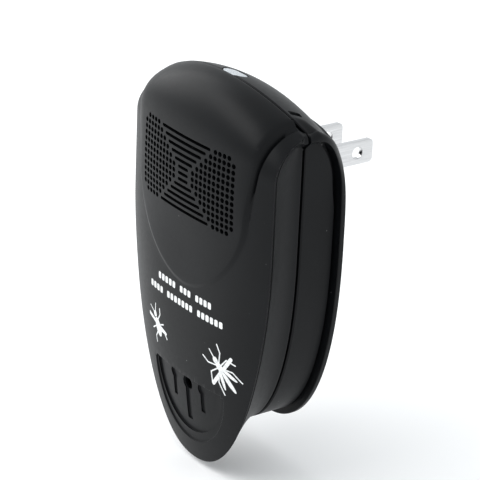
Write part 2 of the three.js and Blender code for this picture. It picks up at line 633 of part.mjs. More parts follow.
// The sounder's cup: a lip, a sloping side and a flat back with a vent slot.
function basket() {
  const { radius } = SOUNDER;
  const { depth, wall, lip, shoulder, backRadius } = BASKET;
  const backY = BASKET_Y + depth;
  const cup = [
    [0, backY],
    [0, backY - wall],
    [backRadius - wall, backY - wall],
    [radius - 2 * wall, BASKET_Y + wall],
    [radius - lip, BASKET_Y],
    [radius, BASKET_Y],
    [radius, BASKET_Y + wall],
    [radius - lip, BASKET_Y + shoulder],
    [backRadius, backY],
    [0, backY],
  ];
  const vent = box(
    [-VENT.halfX, VENT.halfX],
    [backY - VENT.depth, backY + BITE],
    [SOUNDER.z - VENT.halfZ, SOUNDER.z + VENT.halfZ],
  );
  return turned(0, SOUNDER.z, cup, SIDES.ring).subtract(vent);
}

function cone() {
  const { radius, capRadius, rise, thickness } = CONE;
  const profile = [
    [0, CONE_Y + rise],
    [capRadius, CONE_Y + rise],
    [radius, CONE_Y],
    [radius, CONE_Y + thickness],
    [capRadius, CONE_Y + rise + thickness],
    [0, CONE_Y + rise + thickness],
  ];
  return turned(0, SOUNDER.z, profile, SIDES.ring);
}

function piezoDisc() {
  const frontY = CONE_Y + CONE.rise + CONE.thickness + GAP;
  return rodY(0, SOUNDER.z, PIEZO.radius, frontY, frontY + PIEZO.thickness, SIDES.ring);
}

// ---- Board and components ----

function circuitBoard() {
  const plate = prismY(
    roundedRectangle(BOARD.half, BOARD.bottom, BOARD.top, BOARD.corner),
    BOARD.y,
    BOARD_BACK_Y,
    SIDES.corner,
  );
  return cut(plate, BOARD_SCREWS.map((at) => screwHole(at, BOARD_SCREW.shankRadius, -FAR, FAR)));
}

const SEAT_Y = BOARD.y - GAP; // components stand on the board with their feet here

const FILM_CAPACITOR = { x: -9.5, z: -21, halfX: 6.5, halfZ: 3.2, height: 9.5, corner: 0.8 };

function filmCapacitor() {
  const { x, z, halfX, halfZ, height, corner } = FILM_CAPACITOR;
  const block = prismY(roundedRectangle(halfX, -halfZ, halfZ, corner), SEAT_Y - height, SEAT_Y, SIDES.corner);
  return block.translate([x, 0, z]);
}

const ELECTROLYTICS = [
  [-12.3, -30.5],
  [12.3, -33.5],
];
const CAN = { radius: 3.9, height: 10.5, rim: 0.6, beadRadius: 3.5, beadHeight: 1.2 };

// A can with a rounded rim and the rolled-in bead near its foot.
function electrolytic([x, z]) {
  const { radius, height, rim, beadRadius, beadHeight } = CAN;
  const profile = [
    [0, SEAT_Y - height],
    [radius - rim, SEAT_Y - height],
    [radius, SEAT_Y - height + rim],
    [radius, SEAT_Y - 1.5 * beadHeight],
    [beadRadius, SEAT_Y - beadHeight],
    [radius, SEAT_Y - 0.5 * beadHeight],
    [radius, SEAT_Y],
    [0, SEAT_Y],
  ];
  return turned(x, z, profile);
}

const COIL = { x: 8.5, z: -22, flangeRadius: 6, coreRadius: 2.6, windingRadius: 5.3, height: 9, flange: 1.2 };

function coilCore() {
  const low = SEAT_Y;
  const high = SEAT_Y - COIL.height;
  const profile = [
    [0, high],
    [COIL.flangeRadius, high],
    [COIL.flangeRadius, high + COIL.flange],
    [COIL.coreRadius, high + COIL.flange],
    [COIL.coreRadius, low - COIL.flange],
    [COIL.flangeRadius, low - COIL.flange],
    [COIL.flangeRadius, low],
    [0, low],
  ];
  return turned(COIL.x, COIL.z, profile);
}

function coilWinding() {
  const low = SEAT_Y - COIL.flange - GAP;
  const high = SEAT_Y - COIL.height + COIL.flange + GAP;
  const inner = COIL.coreRadius + GAP;
  const outer = COIL.windingRadius;
  return turned(COIL.x, COIL.z, [[inner, high], [outer, high], [outer, low], [inner, low], [inner, high]]);
}

// Two columns of parts with wire legs, counted from the top one.
const AXIAL = { x: 10, topZ: -1, pitch: 3.6, lift: 0.4, legHalf: 0.3, legOverlap: 0.5 };
const DIODES = 4;
const RESISTORS = 3;
const DIODE = { bodyRadius: 1.35, bodyHalf: 2.6, span: 4.6 };
const RESISTOR = { bodyRadius: 1.15, bodyHalf: 3.1, span: 4.8 };
const FUSIBLE_RESISTOR = { bodyRadius: 1.5, bodyHalf: 3.4, span: 4.9 };

// A part with an axial body along X and two wire legs that turn down to the board.
function axialPart(columnSide, row, { bodyRadius, bodyHalf, span }) {
  const x = columnSide * AXIAL.x;
  const z = AXIAL.topZ - row * AXIAL.pitch;
  const axisY = SEAT_Y - bodyRadius - AXIAL.lift;
  const body = solid(
    new THREE.CylinderGeometry(bodyRadius, bodyRadius, 2 * bodyHalf, SIDES.small)
      .rotateZ(Math.PI / 2)
      .translate(x, axisY, z),
  );
  const { legHalf, legOverlap } = AXIAL;
  const legs = [-1, 1].map((side) => {
    const footX = x + side * span;
    const legZ = [z - legHalf, z + legHalf];
    const foot = box([footX - legHalf, footX + legHalf], [axisY - legHalf, SEAT_Y], legZ);
    const reach = ascending(x + side * (bodyHalf - legOverlap), footX);
    return foot.add(box(reach, [axisY - legHalf, axisY + legHalf], legZ));
  });
  return join([body, ...legs]);
}

const CHIP = { x: -3, z: -34.5, halfX: 4.8, halfZ: 3.2, height: 4, lift: 0.8 };
const CHIP_NOTCH = { radius: 0.8, depth: 0.6 };
const CHIP_LEG = { pitch: 2.54, perSide: 4, halfWidth: 0.5, thickness: 0.7, root: 0.2, top: 2.4 };

// A dual in-line chip: a block with a row of flat legs down each side.
function driverChip() {
  const { x, z, halfX, halfZ, height, lift } = CHIP;
  const body = box([x - halfX, x + halfX], [SEAT_Y - height, SEAT_Y - lift], [z - halfZ, z + halfZ]);
  const notchY = [SEAT_Y - height - BITE, SEAT_Y - height + CHIP_NOTCH.depth];
  const notch = rodY(x - halfX, z, CHIP_NOTCH.radius, ...notchY);
  const legs = [];
  for (let i = 0; i < CHIP_LEG.perSide; i++) {
    const legX = x + (i - (CHIP_LEG.perSide - 1) / 2) * CHIP_LEG.pitch;
    for (const side of [-1, 1]) {
      const legZ = ascending(z + side * (halfZ - CHIP_LEG.root), z + side * (halfZ + CHIP_LEG.thickness));
      const width = [legX - CHIP_LEG.halfWidth, legX + CHIP_LEG.halfWidth];
      legs.push(box(width, [SEAT_Y - CHIP_LEG.top, SEAT_Y], legZ));
    }
  }
  return join([body, ...legs]).subtract(notch);
}

const TRANSISTOR = { x: 4.6, z: -34, radius: 2.3, flatAngle: 0.2 * Math.PI, top: 6.5, lift: 2 };
const LEG = { pitch: 1.27, half: 0.3 };

// A small transistor: a rounded moulding with one flat side, on three legs.
function transistor() {
  const { x, z, radius, flatAngle, top, lift } = TRANSISTOR;
  const shape = new THREE.Shape();
  shape.absarc(x, z, radius, flatAngle, 2 * Math.PI - flatAngle);
  shape.closePath();
  const body = prismY(shape, SEAT_Y - top, SEAT_Y - lift);
  const legs = [-LEG.pitch, 0, LEG.pitch].map((dz) =>
    box([x - LEG.half, x + LEG.half], [SEAT_Y - lift - BITE, SEAT_Y], [z + dz - LEG.half, z + dz + LEG.half]),
  );
  return join([body, ...legs]);
}

// The indicator under the lens: a domed lamp on two legs that turn back to the board.
const LED = { baseZ: 13.4, radius: 2.4, collar: 0.4, collarHeight: 1, bodyHeight: 5, height: 7.4, legZ: 8 };

function indicatorLed() {
  const { baseZ, radius, collar, collarHeight, bodyHeight, height, legZ } = LED;
  const profile = [
    [0, baseZ],
    [radius + collar, baseZ],
    [radius + collar, baseZ + collarHeight],
    [radius, baseZ + collarHeight],
    [radius, baseZ + bodyHeight],
  ];
  const points = profile.map(([r, z]) => new THREE.Vector2(r, z));
  const dome = new THREE.EllipseCurve(0, baseZ + bodyHeight, radius, height - bodyHeight, 0, Math.PI / 2);
  const domeSteps = 3;
  points.push(...dome.getPoints(domeSteps).slice(1, domeSteps), new THREE.Vector2(0, baseZ + height));
  const lathe = new THREE.LatheGeometry(points, SIDES.round);
  const lamp = solid(lathe.rotateX(Math.PI / 2).translate(0, LENS.y, 0));
  const legs = [-LEG.pitch, LEG.pitch].map((x) => {
    const legX = [x - LEG.half, x + LEG.half];
    const down = box(legX, [LENS.y - LEG.half, LENS.y + LEG.half], [legZ, baseZ + BITE / 2]);
    return down.add(box(legX, [LENS.y - LEG.half, BOARD.y - GAP], [legZ, legZ + 2 * LEG.half]));
  });
  return join([lamp, ...legs]);
}

// A window in the roof, with a wider rim under the wall that keeps it in.
function topLens() {
  const { y, halfLength, halfWidth } = LENS;
  const { width, thickness, drop } = LENS_FLANGE;
  const flangeTop = roofZ(0, y) - WALL - GAP - drop;
  const window = prismZ(stadium(0, y, halfLength, halfWidth), flangeTop, FAR, SIDES.wire);
  const flangeShape = stadium(0, y, halfLength + width, halfWidth + width / 2);
  const rim = prismZ(flangeShape, flangeTop - thickness, flangeTop, SIDES.wire);
  return window.intersect(domeBlock).add(rim);
}

// ---- Wires ----

const WIRE_RADIUS = 0.6;

// A lead from a blade's tail to a pad on the back of the board.
function mainsWire(side) {
  const x = side * BLADE_X;
  const route = [
    [x + side * 1.7, -15, 0],
    [x + side * 4, -15.2, -2],
    [x + side * 5.6, -15.4, -6],
    [x + side * 5.8, -15.9, -10.5],
    [x + side * 5.8, -17.05, -11.5],
  ];
  return tube(route, WIRE_RADIUS, 9);
}

// A lead from the back of the sounder down to the board.
function sounderWire(side) {
  const route = [
    [side * 3, -22.4, 1],
    [side * 3.2, -22.3, -3],
    [side * 3.4, -21.8, -8],
    [side * 3.4, -20.6, -11.6],
    [side * 3.4, -19.35, -12.2],
  ];
  return tube(route, WIRE_RADIUS, 9);
}

// ---- The assembly ----

const repeller = new THREE.Group();

function add(name, manifold, material) {
  const mesh = new THREE.Mesh(toGeometry(manifold), material);
  mesh.name = name;
  repeller.add(mesh);
}

const SIDE_NAMES = [
  ["left", -1],
  ["right", 1],
];

add("front_cover", frontCover(), BLACK_CASING);
add("rear_housing", rearHousing(), BLACK_CASING);
add("top_lens", topLens(), CLEAR_LENS);
for (const [name, side] of SIDE_NAMES) {
  add("blade_" + name, blade(side * BLADE_X), NICKEL);
  add("mains_wire_" + name, mainsWire(side), side < 0 ? WIRE_WHITE : WIRE_BLACK);
  add("sounder_wire_" + name, sounderWire(side), side < 0 ? WIRE_BLACK : WIRE_RED);
}
add("blade_clamp", bladeClamp(), PHENOLIC);
CLAMP_SCREWS.forEach((at, i) => {
  add("clamp_screw_" + (i + 1), screw(at, CLAMP_FRONT_Y - GAP, 1, CLAMP_SCREW), STEEL);
});
CASE_SCREWS.forEach((at, i) => {
  add("case_screw_" + (i + 1), screw(at, SCREW_SEAT_Y + GAP, -1, CASE_SCREW), STEEL);
});
BOARD_SCREWS.forEach((at, i) => {
  add("board_screw_" + (i + 1), screw(at, BOARD.y - GAP, 1, BOARD_SCREW), STEEL);
});
add("sounder_gasket", gasket(), FOAM);
add("sounder_basket", basket(), BASKET_GREY);
add("sounder_cone", cone(), CONE_PAPER);
add("piezo_disc", piezoDisc(), BRASS);
add("circuit_board", circuitBoard(), BOARD_GREEN);
add("film_capacitor", filmCapacitor(), FILM_YELLOW);
ELECTROLYTICS.forEach((at, i) => add("electrolytic_capacitor_" + (i + 1), electrolytic(at), SLEEVE_BLUE));
add("coil_core", coilCore(), FERRITE);
add("coil_winding", coilWinding(), COPPER);
for (let row = 0; row < DIODES; row++) {
  add("diode_" + (row + 1), axialPart(-1, row, DIODE), EPOXY_BLACK);
}
for (let row = 0; row < RESISTORS; row++) {
  add("resistor_" + (row + 1), axialPart(1, row, RESISTOR), RESISTOR_TAN);
}
add("fusible_resistor", axialPart(1, RESISTORS, FUSIBLE_RESISTOR), FUSE_GREY);
add("driver_chip", driverChip(), EPOXY_BLACK);
add("transistor", transistor(), EPOXY_BLACK);
add("indicator_led", indicatorLed(), LED_GREEN);

export default repeller;
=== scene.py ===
import json
import math
from functools import partial

import bmesh
import bpy
import numpy as np
from mathutils import Matrix, Vector


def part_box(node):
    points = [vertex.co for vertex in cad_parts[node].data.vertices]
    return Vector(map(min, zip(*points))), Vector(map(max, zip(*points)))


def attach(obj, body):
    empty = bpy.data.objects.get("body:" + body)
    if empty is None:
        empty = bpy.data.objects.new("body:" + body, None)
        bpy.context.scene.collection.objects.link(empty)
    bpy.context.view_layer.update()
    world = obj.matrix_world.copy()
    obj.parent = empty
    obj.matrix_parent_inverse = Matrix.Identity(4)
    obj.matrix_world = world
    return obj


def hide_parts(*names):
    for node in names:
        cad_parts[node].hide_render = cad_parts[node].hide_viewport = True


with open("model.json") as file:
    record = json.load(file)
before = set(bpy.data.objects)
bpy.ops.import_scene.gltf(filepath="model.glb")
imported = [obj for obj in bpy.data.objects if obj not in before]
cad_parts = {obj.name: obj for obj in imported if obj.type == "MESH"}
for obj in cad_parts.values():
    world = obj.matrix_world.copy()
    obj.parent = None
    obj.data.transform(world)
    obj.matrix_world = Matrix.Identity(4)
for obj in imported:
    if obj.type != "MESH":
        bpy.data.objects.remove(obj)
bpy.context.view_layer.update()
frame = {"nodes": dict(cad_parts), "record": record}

MM = 0.001

# ---- Driving dimensions, in millimetres. The ends of the casing come from the frame. ----

COVER_LOW, COVER_HIGH = (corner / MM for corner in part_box("front_cover"))
BLADE_LOW, BLADE_HIGH = (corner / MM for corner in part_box("blade_right"))

WALL = 2.2
SEAM_Y = -19.7
SEAM_HALF_GAP = 0.4
TONGUE = {"end": 0.9, "gap": 0.4, "thickness": 0.8}  # inside the seam
ROOF_GAP_SHARE = 0.6  # the seam is narrower over the roof
EDGE_RADIUS = 0.3  # rounding of the moulded edges along the seam
ROOF_EDGE_RUN = 0.45  # the dome's edge over the roof starts to turn down this far before its end
MIDDLE_Z = -13.0  # height of the casing's widest section
RECESS_END_Y = -21.0  # where the side wall has drawn in to the waist
DRAW_POWER = 1.7
DRAW_RUN = 0.3  # least depth over which the side draws in
PLUG_BACK_Y = -7.0
INNER_BACK_Y = -9.6

# Superellipse outlines about MIDDLE_Z: half width, lower and upper reach, the lower half's powers
# across and down, and the upper half's power.
RIM = (COVER_HIGH.x, MIDDLE_Z - COVER_LOW.z, 43.0, (2.35, 1.68), 6.0)
WAIST = (25.7, 55.5, 41.0, (2.35, 2.35), 8.0)
FLANGE = (27.4, 57.5, 27.7, (2.35, 2.35), 3.8)

# The skin: face, roll over the top, and roof.
FACE_Y = -36.1
FACE_BULGE = (5.1, 4.8)  # how far the face falls back at its rim, below and above these heights
BULGE_HEIGHTS = (-35, -10)
DOME_Y = COVER_LOW.y + 0.1  # keeps the dome inside the CAD's box
DOME_MIDDLE_Z = 1.5
DOME_BOW = (0.00468, 0.00378)
DOME_PROUD = 0.32  # least height of the dome above the face, at its foot
DOME_BLEND = 0.4
DOME_ROLL_Z = 11.0  # the dome and the face around it start to roll over at these heights
FACE_ROLL_Z = 8.0
ROLL_END = 26.0  # skin height at which both have become the roof
ROLL_FULLNESS = 0.94  # below 1 the roll is fuller than an ellipse
ROOF_LENGTH = 22.0
ROOF_END_Y = -2.0
ROOF_START_Y = -25.2
ROOF_BOW = 0.0047
ROOF_Z = 26.3
ROOF_SLOPE = 0.114
ROOF_CURVE = 0.0255
ROOF_CROWN = 0.0082
STEP = 1.6
STEP_FADE = (-19.0, -15.8)

# The raised dome's lip, which widens and then draws in a little, and its rounded lower end.
LIP = {
    "half": 22.2, "widest": 24.7, "top_half": 24.2, "widens": (-5.0, 16.0), "draws_in": 18.0,
    "foot_z": -3.0, "drop": 24.2, "power": 1.8,
}
# Width of the step from the lip out to the foot, and the skin height where it starts to widen.
FOOT_WIDTH = {"side": 1.6, "seam": 1.7, "bottom": 1.5, "widens": 15.0}

# Beside the grille the dome rolls down towards its lip, and a channel lies between its wall and the face.
BESIDE_GRILLE = (-7.0, 7.0)  # both come in between these skin heights
LIP_ROLL = {"drop": 0.3, "start": 0.86}  # start: share of the way out to the lip
CHANNEL = {"depth": 1.1, "start": 0.25, "full": 0.45, "end": 0.8}  # shares of the way to the foot

CORNER_RUN = 3.5  # skin height that the contour's corner takes up along the lip
LEDGE_RUN = 1.5

# The crease between face and side. Over the corner it runs in front of the seam.
CREASE = {
    "radius": 0.25,
    "groove": 0.3,  # depth of the fine line behind it
    "draws_in": (10.0, 17.0, 1.8),  # towards the shoulder: start height, run and power
    "forward": (0.5, 2.0),  # distance in front of the seam at the corner's top, and what it gains
    "out": 0.02,  # shares of that distance
    "up": 0.65,
    "ledge_gap": 0.3,  # in skin height, as the next one
    "ledge_run": 4,
    "side_spacing": 0.9,  # below 1 the points lie closer together towards the middle
    "fade": 14,  # points of the side over which it leaves the corner's line
}

# The inner wall's foot: skin heights where its top, corner and ledge end, and how much narrower the
# top is than the waist.
INNER_V = (ROLL_END - 2, ROLL_END - 6, ROLL_END - 8)
INNER_TOP_NARROWER = 1.5

LEDGE_Z = 15.6  # the shoulder ends here, and the finger recess starts
LEDGE_DROP = 1.3
SHOULDER_X = 27.7
SHOULDER_END_Y = -17.0  # from here back the shoulder turns into the flange
RECESS_CORNER = (-17.5, 2.0)
FLANGE_Y = -8.5
FLANGE_TURN = (19.5, 9.0)  # where the flange's top ends, across, and where its side starts, in height
FLANGE_RADIUS = 0.35  # rounding of the flange's front edge
RIM_RADIUS = 0.4  # rounding of its rear edge
UPPER_SPLIT_Y = -11.0  # where the rings over the roof pass from the wall to the flange
INSIDE_SHARE = 0.86  # the inside of the back wall, as a share of the flange's outline

# The groove between the recessed wall and the flange.
GROOVE = {
    "width": (1.0, 2.0),  # beside the plug, and at its upper end
    "widens": (-6, 4),  # the heights between which it does
    "least": 0.3,
    "depth": 1.9,
    "profile": ((0.05, 0.6), (0.1, 1.0), (0.5, 1.0), (0.9, 1.0)),  # shares of its width and depth
    "narrows": (LEDGE_Z, LEDGE_Z - 3),  # under the ledge its width runs out between these heights
    "fades": (LEDGE_Z - 0.6, LEDGE_Z - 4),  # and its depth between these
    "slant": 0.25,  # share of the height in the direction in which it is sunk
}

# Tools that cut right through a wall reach from one of these depths or heights to the other.
GRILLE_CUT = (DOME_Y - 3, FACE_Y + WALL + 2)
FACE_CUT = (FACE_Y - 1, FACE_Y + 9)
BACK_CUT = (INNER_BACK_Y - 1, 1)
ROOF_CUT = (10, 40)
INK_CUT = (FACE_Y - 3, FACE_Y + 6)

# Points per stretch of the casing's contour, from its top to its bottom on one side.
COUNTS = {"top": 40, "corner": 18, "ledge": 8, "side": 44, "lower": 76}


# ---- Small helpers ----

def smooth(low, high, value):
    share = np.clip((value - low) / (high - low), 0, 1)
    return share * share * (3 - 2 * share)


def mix(a, b, share):
    share = np.asarray(share)
    if np.ndim(a) > np.ndim(share) and np.ndim(share):
        share = share[:, None]
    return a + (b - a) * share


def stack(x, y, z):
    x, y, z = np.broadcast_arrays(x, y, z)
    return np.stack([x, y, z], axis=-1).astype(float)


def unit(way):
    return way / np.maximum(np.linalg.norm(way, axis=1, keepdims=True), 1e-9)


def quarter_turn(steps):
    """(1 - cos, 1 - sin) of the angles that divide a quarter turn evenly, for rounding an edge."""
    angles = [i / steps * math.pi / 2 for i in range(steps + 1)]
    return [(1 - math.cos(angle), 1 - math.sin(angle)) for angle in angles]


def low_outline(outline, angle):
    """(x, z) on an outline's lower half, angle from 0 at the side to 90 degrees at the bottom."""
    half, down, _, (across_power, down_power), _ = outline
    x = half * np.abs(np.cos(angle)) ** (2 / across_power)
    z = MIDDLE_Z - down * np.abs(np.sin(angle)) ** (2 / down_power)
    return x, z


def high_half_width(outline, z):
    half, _, up, _, power = outline
    return half * np.maximum(1 - np.abs((z - MIDDLE_Z) / up) ** power, 0) ** (1 / power)


def inset(outline, by):
    half, down, up, low_powers, high_power = outline
    return half - by, down - by, up - by, low_powers, high_power


# ---- The outer skin ----

def face_y(x, z):
    below = np.minimum(z - MIDDLE_Z, 0) / RIM[1]
    bulge = mix(*FACE_BULGE, smooth(*BULGE_HEIGHTS, z))
    return FACE_Y + bulge * np.hypot(x / RIM[0], below) ** 3


def dome_y(x, z):
    """The dome, which always stands a little proud of the face."""
    dome = DOME_Y + DOME_BOW[0] * x * x + DOME_BOW[1] * (z - DOME_MIDDLE_Z) ** 2
    proud = face_y(x, z) - DOME_PROUD
    far = (proud - dome) / DOME_BLEND
    return proud - DOME_BLEND * np.logaddexp(0, far)


def roof_edge_y(x):
    return ROOF_START_Y + ROOF_BOW * x * x


def roof_z(x, y):
    back = y - ROOF_START_Y
    return ROOF_Z - ROOF_SLOPE * back - ROOF_CURVE * back * back - ROOF_CROWN * x * x


def roof_step(y):
    return STEP * (1 - smooth(*STEP_FADE, y))


def skin(x, v, is_dome, depth=0.0):
    """The point of the skin at side distance x and skin height v, which runs up the face, over the
    roll and back along the roof."""
    x, v = np.broadcast_arrays(np.asarray(x, float), np.asarray(v, float))
    front = dome_y if is_dome else face_y
    roll_z = DOME_ROLL_Z if is_dome else FACE_ROLL_Z
    edge = roof_edge_y(x)
    roof_y = edge + (ROOF_END_Y - edge) * np.maximum(v - ROLL_END, 0) / ROOF_LENGTH
    fall = depth + (0 if is_dome else roof_step(roof_y))
    top = roof_z(x, roof_y) - fall
    angle = np.clip((v - roll_z) / (ROLL_END - roll_z), 0, 1) * math.pi / 2
    start = front(x, np.minimum(v, roll_z)) + depth
    y = np.where(v >= ROLL_END, roof_y, edge + (start - edge) * np.cos(angle) ** ROLL_FULLNESS)
    z = np.where(v <= roll_z, v, roll_z + (top - roll_z) * np.sin(angle) ** ROLL_FULLNESS)
    return stack(x, y, z)


def roof_v(x, y):
    """The skin height of a roof point at depth y."""
    edge = roof_edge_y(x)
    return ROLL_END + ROOF_LENGTH * (y - edge) / (ROOF_END_Y - edge)


# ---- The casing's contour, as matched points on each guide line ----

def stretch(name, end=False):
    return np.linspace(0, 1, COUNTS[name] + (1 if end else 0), endpoint=end)


def by_stretch(**parts):
    """Joins one array of points per stretch of the contour, from the top to the bottom."""
    return np.concatenate([parts[name] for name in COUNTS])


U = {name: stretch(name, name == "lower") for name in COUNTS}
ANGLE = U["lower"] * math.pi / 2
TOP_X = LIP["top_half"] * U["top"]


def lip_half_width(v, grow):
    """Half width of the dome's lip (grow 0) or of its foot on the face (grow 1) at skin height v."""
    half = mix(LIP["half"], LIP["widest"], smooth(*LIP["widens"], v))
    half -= (LIP["widest"] - LIP["top_half"]) * smooth(LIP["draws_in"], ROLL_END, v)
    width = mix(FOOT_WIDTH["side"], FOOT_WIDTH["seam"], smooth(FOOT_WIDTH["widens"], ROLL_END, v))
    return half + grow * width


def lip_line(grow=0.0):
    """The dome's edge as (x, v): grow 0 is its lip, 1 its foot on the face."""
    corner_v = ROLL_END - CORNER_RUN * U["corner"]
    ledge_v = ROLL_END - CORNER_RUN - LEDGE_RUN * U["ledge"]
    side_v = mix(ROLL_END - CORNER_RUN - LEDGE_RUN, LIP["foot_z"], U["side"])
    half = LIP["half"] + grow * FOOT_WIDTH["side"]
    drop = LIP["drop"] + grow * FOOT_WIDTH["bottom"]
    power = 2 / LIP["power"]
    x = by_stretch(
        top=TOP_X,
        corner=lip_half_width(corner_v, grow),
        ledge=lip_half_width(ledge_v, grow),
        side=lip_half_width(side_v, grow),
        lower=half * np.abs(np.cos(ANGLE)) ** power,
    )
    v = by_stretch(
        top=np.full(COUNTS["top"], ROLL_END),
        corner=corner_v,
        ledge=ledge_v,
        side=side_v,
        lower=LIP["foot_z"] - drop * np.abs(np.sin(ANGLE)) ** power,
    )
    return x, v


def seam_line(y, by=0.0):
    """The contour near the seam, moved inwards by a distance. Over the roof it follows the bowed edge."""
    corner_angle = U["corner"] * math.pi / 2
    inner_x = LIP["top_half"] + FOOT_WIDTH["seam"]
    shoulder_z = roof_z(inner_x, SEAM_Y) - STEP
    waist = inset(WAIST, by)
    ledge_end = LEDGE_Z - LEDGE_DROP - by
    lower_x, lower_z = low_outline(waist, ANGLE)
    side_z = mix(ledge_end, MIDDLE_Z, U["side"])
    offset = y - SEAM_Y
    roof_y = roof_edge_y(TOP_X)
    top_x = TOP_X * (1 - by / LIP["top_half"])
    top = stack(top_x, roof_y + offset * ROOF_GAP_SHARE, roof_z(TOP_X, roof_y) - by)
    reach_x = SHOULDER_X - by - (inner_x - by)
    corner_z = LEDGE_Z - by + (shoulder_z - LEDGE_Z) * np.cos(corner_angle)
    corner_y = SEAM_Y + offset * mix(ROOF_GAP_SHARE, 1, U["corner"])
    corner = stack(inner_x - by + reach_x * np.sin(corner_angle), corner_y, corner_z)
    waist_x = high_half_width(waist, ledge_end)
    ledge_x = mix(SHOULDER_X - by, waist_x, U["ledge"])
    ledge = stack(ledge_x, y, LEDGE_Z - by - LEDGE_DROP * smooth(0, 1, U["ledge"]))
    side = stack(high_half_width(waist, side_z), y, side_z)
    lower = stack(lower_x, y, lower_z)
    return by_stretch(top=top, corner=corner, ledge=ledge, side=side, lower=lower)


def crease_x(v):
    """Half width of the crease between face and side, at skin height v."""
    start, run, power = CREASE["draws_in"]
    share = np.clip((v - start) / run, 0, 1)
    return RIM[0] - (RIM[0] - SHOULDER_X) * share ** power


def crease_line():
    """The crease as points, and as (x, v) on the face's skin."""
    n_top, n_corner = COUNTS["top"], COUNTS["corner"]
    first = n_top + n_corner
    least, more = CREASE["forward"]
    forward = least + more * U["corner"] ** 2
    corner = seam_line(SEAM_Y - SEAM_HALF_GAP)[n_top:first]
    corner = corner + stack(CREASE["out"] * forward, -forward, CREASE["up"] * forward * U["corner"])
    corner_v = roof_v(corner[:, 0], corner[:, 1])
    ledge_start = corner_v[-1] - CREASE["ledge_gap"]
    ledge_end = ledge_start - CREASE["ledge_run"]
    ledge_v = mix(ledge_start, ledge_end, U["ledge"])
    side_v = mix(ledge_end, MIDDLE_Z, U["side"] ** CREASE["side_spacing"])
    lower_x, lower_v = low_outline(RIM, ANGLE)
    x = by_stretch(
        top=TOP_X, corner=corner[:, 0], ledge=crease_x(ledge_v), side=crease_x(side_v), lower=lower_x,
    )
    v = by_stretch(
        top=np.full(n_top, ROLL_END), corner=corner_v, ledge=ledge_v, side=side_v, lower=lower_v,
    )
    points = skin(x, v, False)
    points[n_top:first] = corner
    drop = corner[-1] - skin(corner[-1, 0], corner_v[-1], False)
    fade_length = COUNTS["ledge"] + CREASE["fade"]
    fade = 1 - smooth(0, 1, np.arange(fade_length) / fade_length)
    points[first:first + fade_length] += fade[:, None] * drop
    return points, x, v


def bezier(a, b, c, share):
    return (1 - share) ** 2 * a + 2 * share * (1 - share) * b + share ** 2 * c


def toward(a, b, distance, most=0.45):
    """The points at that distance from a on the way to b, or at most at that share of the way."""
    way = b - a
    length = np.maximum(np.linalg.norm(way, axis=1, keepdims=True), 1e-9)
    return a + way * np.minimum(distance / length, most)


def rounded(rings, before, corner, after, radius, steps=3):
    """Adds rings round a corner between two directions."""
    start = toward(corner, before, radius)
    end = toward(corner, after, radius)
    for i in range(steps + 1):
        rings.append(bezier(start, corner, end, i / steps))


# ---- Meshes ----

def mirrored(ring):
    """A whole ring from the points of its right half, whose ends lie in the middle plane."""
    left = ring[-2:0:-1] * np.array([-1.0, 1.0, 1.0])
    return np.concatenate([ring, left])


def mesh_object(name, vertices, faces):
    mesh = bpy.data.meshes.new(name)
    mesh.from_pydata((np.asarray(vertices) * MM).tolist(), [], faces)
    mesh.update()
    obj = bpy.data.objects.new(name, mesh)
    bpy.context.scene.collection.objects.link(obj)
    return obj


def solid(name, vertices, faces):
    """A closed mesh whose faces all point outwards."""
    obj = mesh_object(name, vertices, faces)
    work = bmesh.new()
    work.from_mesh(obj.data)
    bmesh.ops.recalc_face_normals(work, faces=work.faces)
    if work.calc_volume(signed=True) < 0:
        bmesh.ops.reverse_faces(work, faces=work.faces)
    work.to_mesh(obj.data)
    work.free()
    return obj


def grid(columns, rows):
    """The numbers of a grid's points, and its square faces."""
    index = np.arange(columns * rows).reshape(rows, columns)
    corners = (index[:-1, :-1], index[:-1, 1:], index[1:, 1:], index[1:, :-1])
    return index, np.stack(corners, axis=-1).reshape(-1, 4).tolist()


def loft(name, first, rings, last):
    """A closed surface through whole rings of matched points, between two end points."""
    count = len(rings[0])
    vertices = np.concatenate([[first], *rings, [last]])
    faces = []
    for i in range(count):
        j = (i + 1) % count
        faces.append((0, 1 + i, 1 + j))
        for k in range(len(rings) - 1):
            row = 1 + k * count
            faces.append((row + i, row + count + i, row + count + j, row + j))
        row = 1 + (len(rings) - 1) * count
        faces.append((row + i, len(vertices) - 1, row + j))
    return solid(name, vertices, faces)


def prism(name, loops, at_start, at_end):
    """Closed prisms of flat outlines [(a, b), ...]; at_start and at_end place (a, b) at either end."""
    vertices = []
    faces = []
    for outline in loops:
        first = len(vertices)
        count = len(outline)
        vertices += [at_start(a, b) for a, b in outline]
        vertices += [at_end(a, b) for a, b in outline]
        faces.append(tuple(range(first, first + count)))
        faces.append(tuple(range(first + 2 * count - 1, first + count - 1, -1)))
        for i in range(count):
            j = (i + 1) % count
            faces.append((first + i, first + count + i, first + count + j, first + j))
    return solid(name, vertices, faces)


def prism_x(name, loops, x_low, x_high):
    return prism(name, loops, lambda z, y: (x_low, y, z), lambda z, y: (x_high, y, z))


def prism_y(name, loops, y_low, y_high):
    return prism(name, loops, lambda x, z: (x, y_low, z), lambda x, z: (x, y_high, z))


def prism_z(name, loops, z_low, z_high):
    return prism(name, loops, lambda x, y: (x, y, z_low), lambda x, y: (x, y, z_high))


def circle(x, z, radius, sides=20):
    angles = np.arange(sides) * 2 * math.pi / sides
    return [(x + radius * math.cos(a), z + radius * math.sin(a)) for a in angles]


def stadium(x, z, half_length, half_width, steps=8):
    reach = half_length - half_width
    points = []
    for side in (1, -1):
        for i in range(steps + 1):
            angle = math.pi * (i / steps - 0.5)
            out = reach + half_width * math.cos(angle)
            points.append((x + side * out, z + side * half_width * math.sin(angle)))
    return points


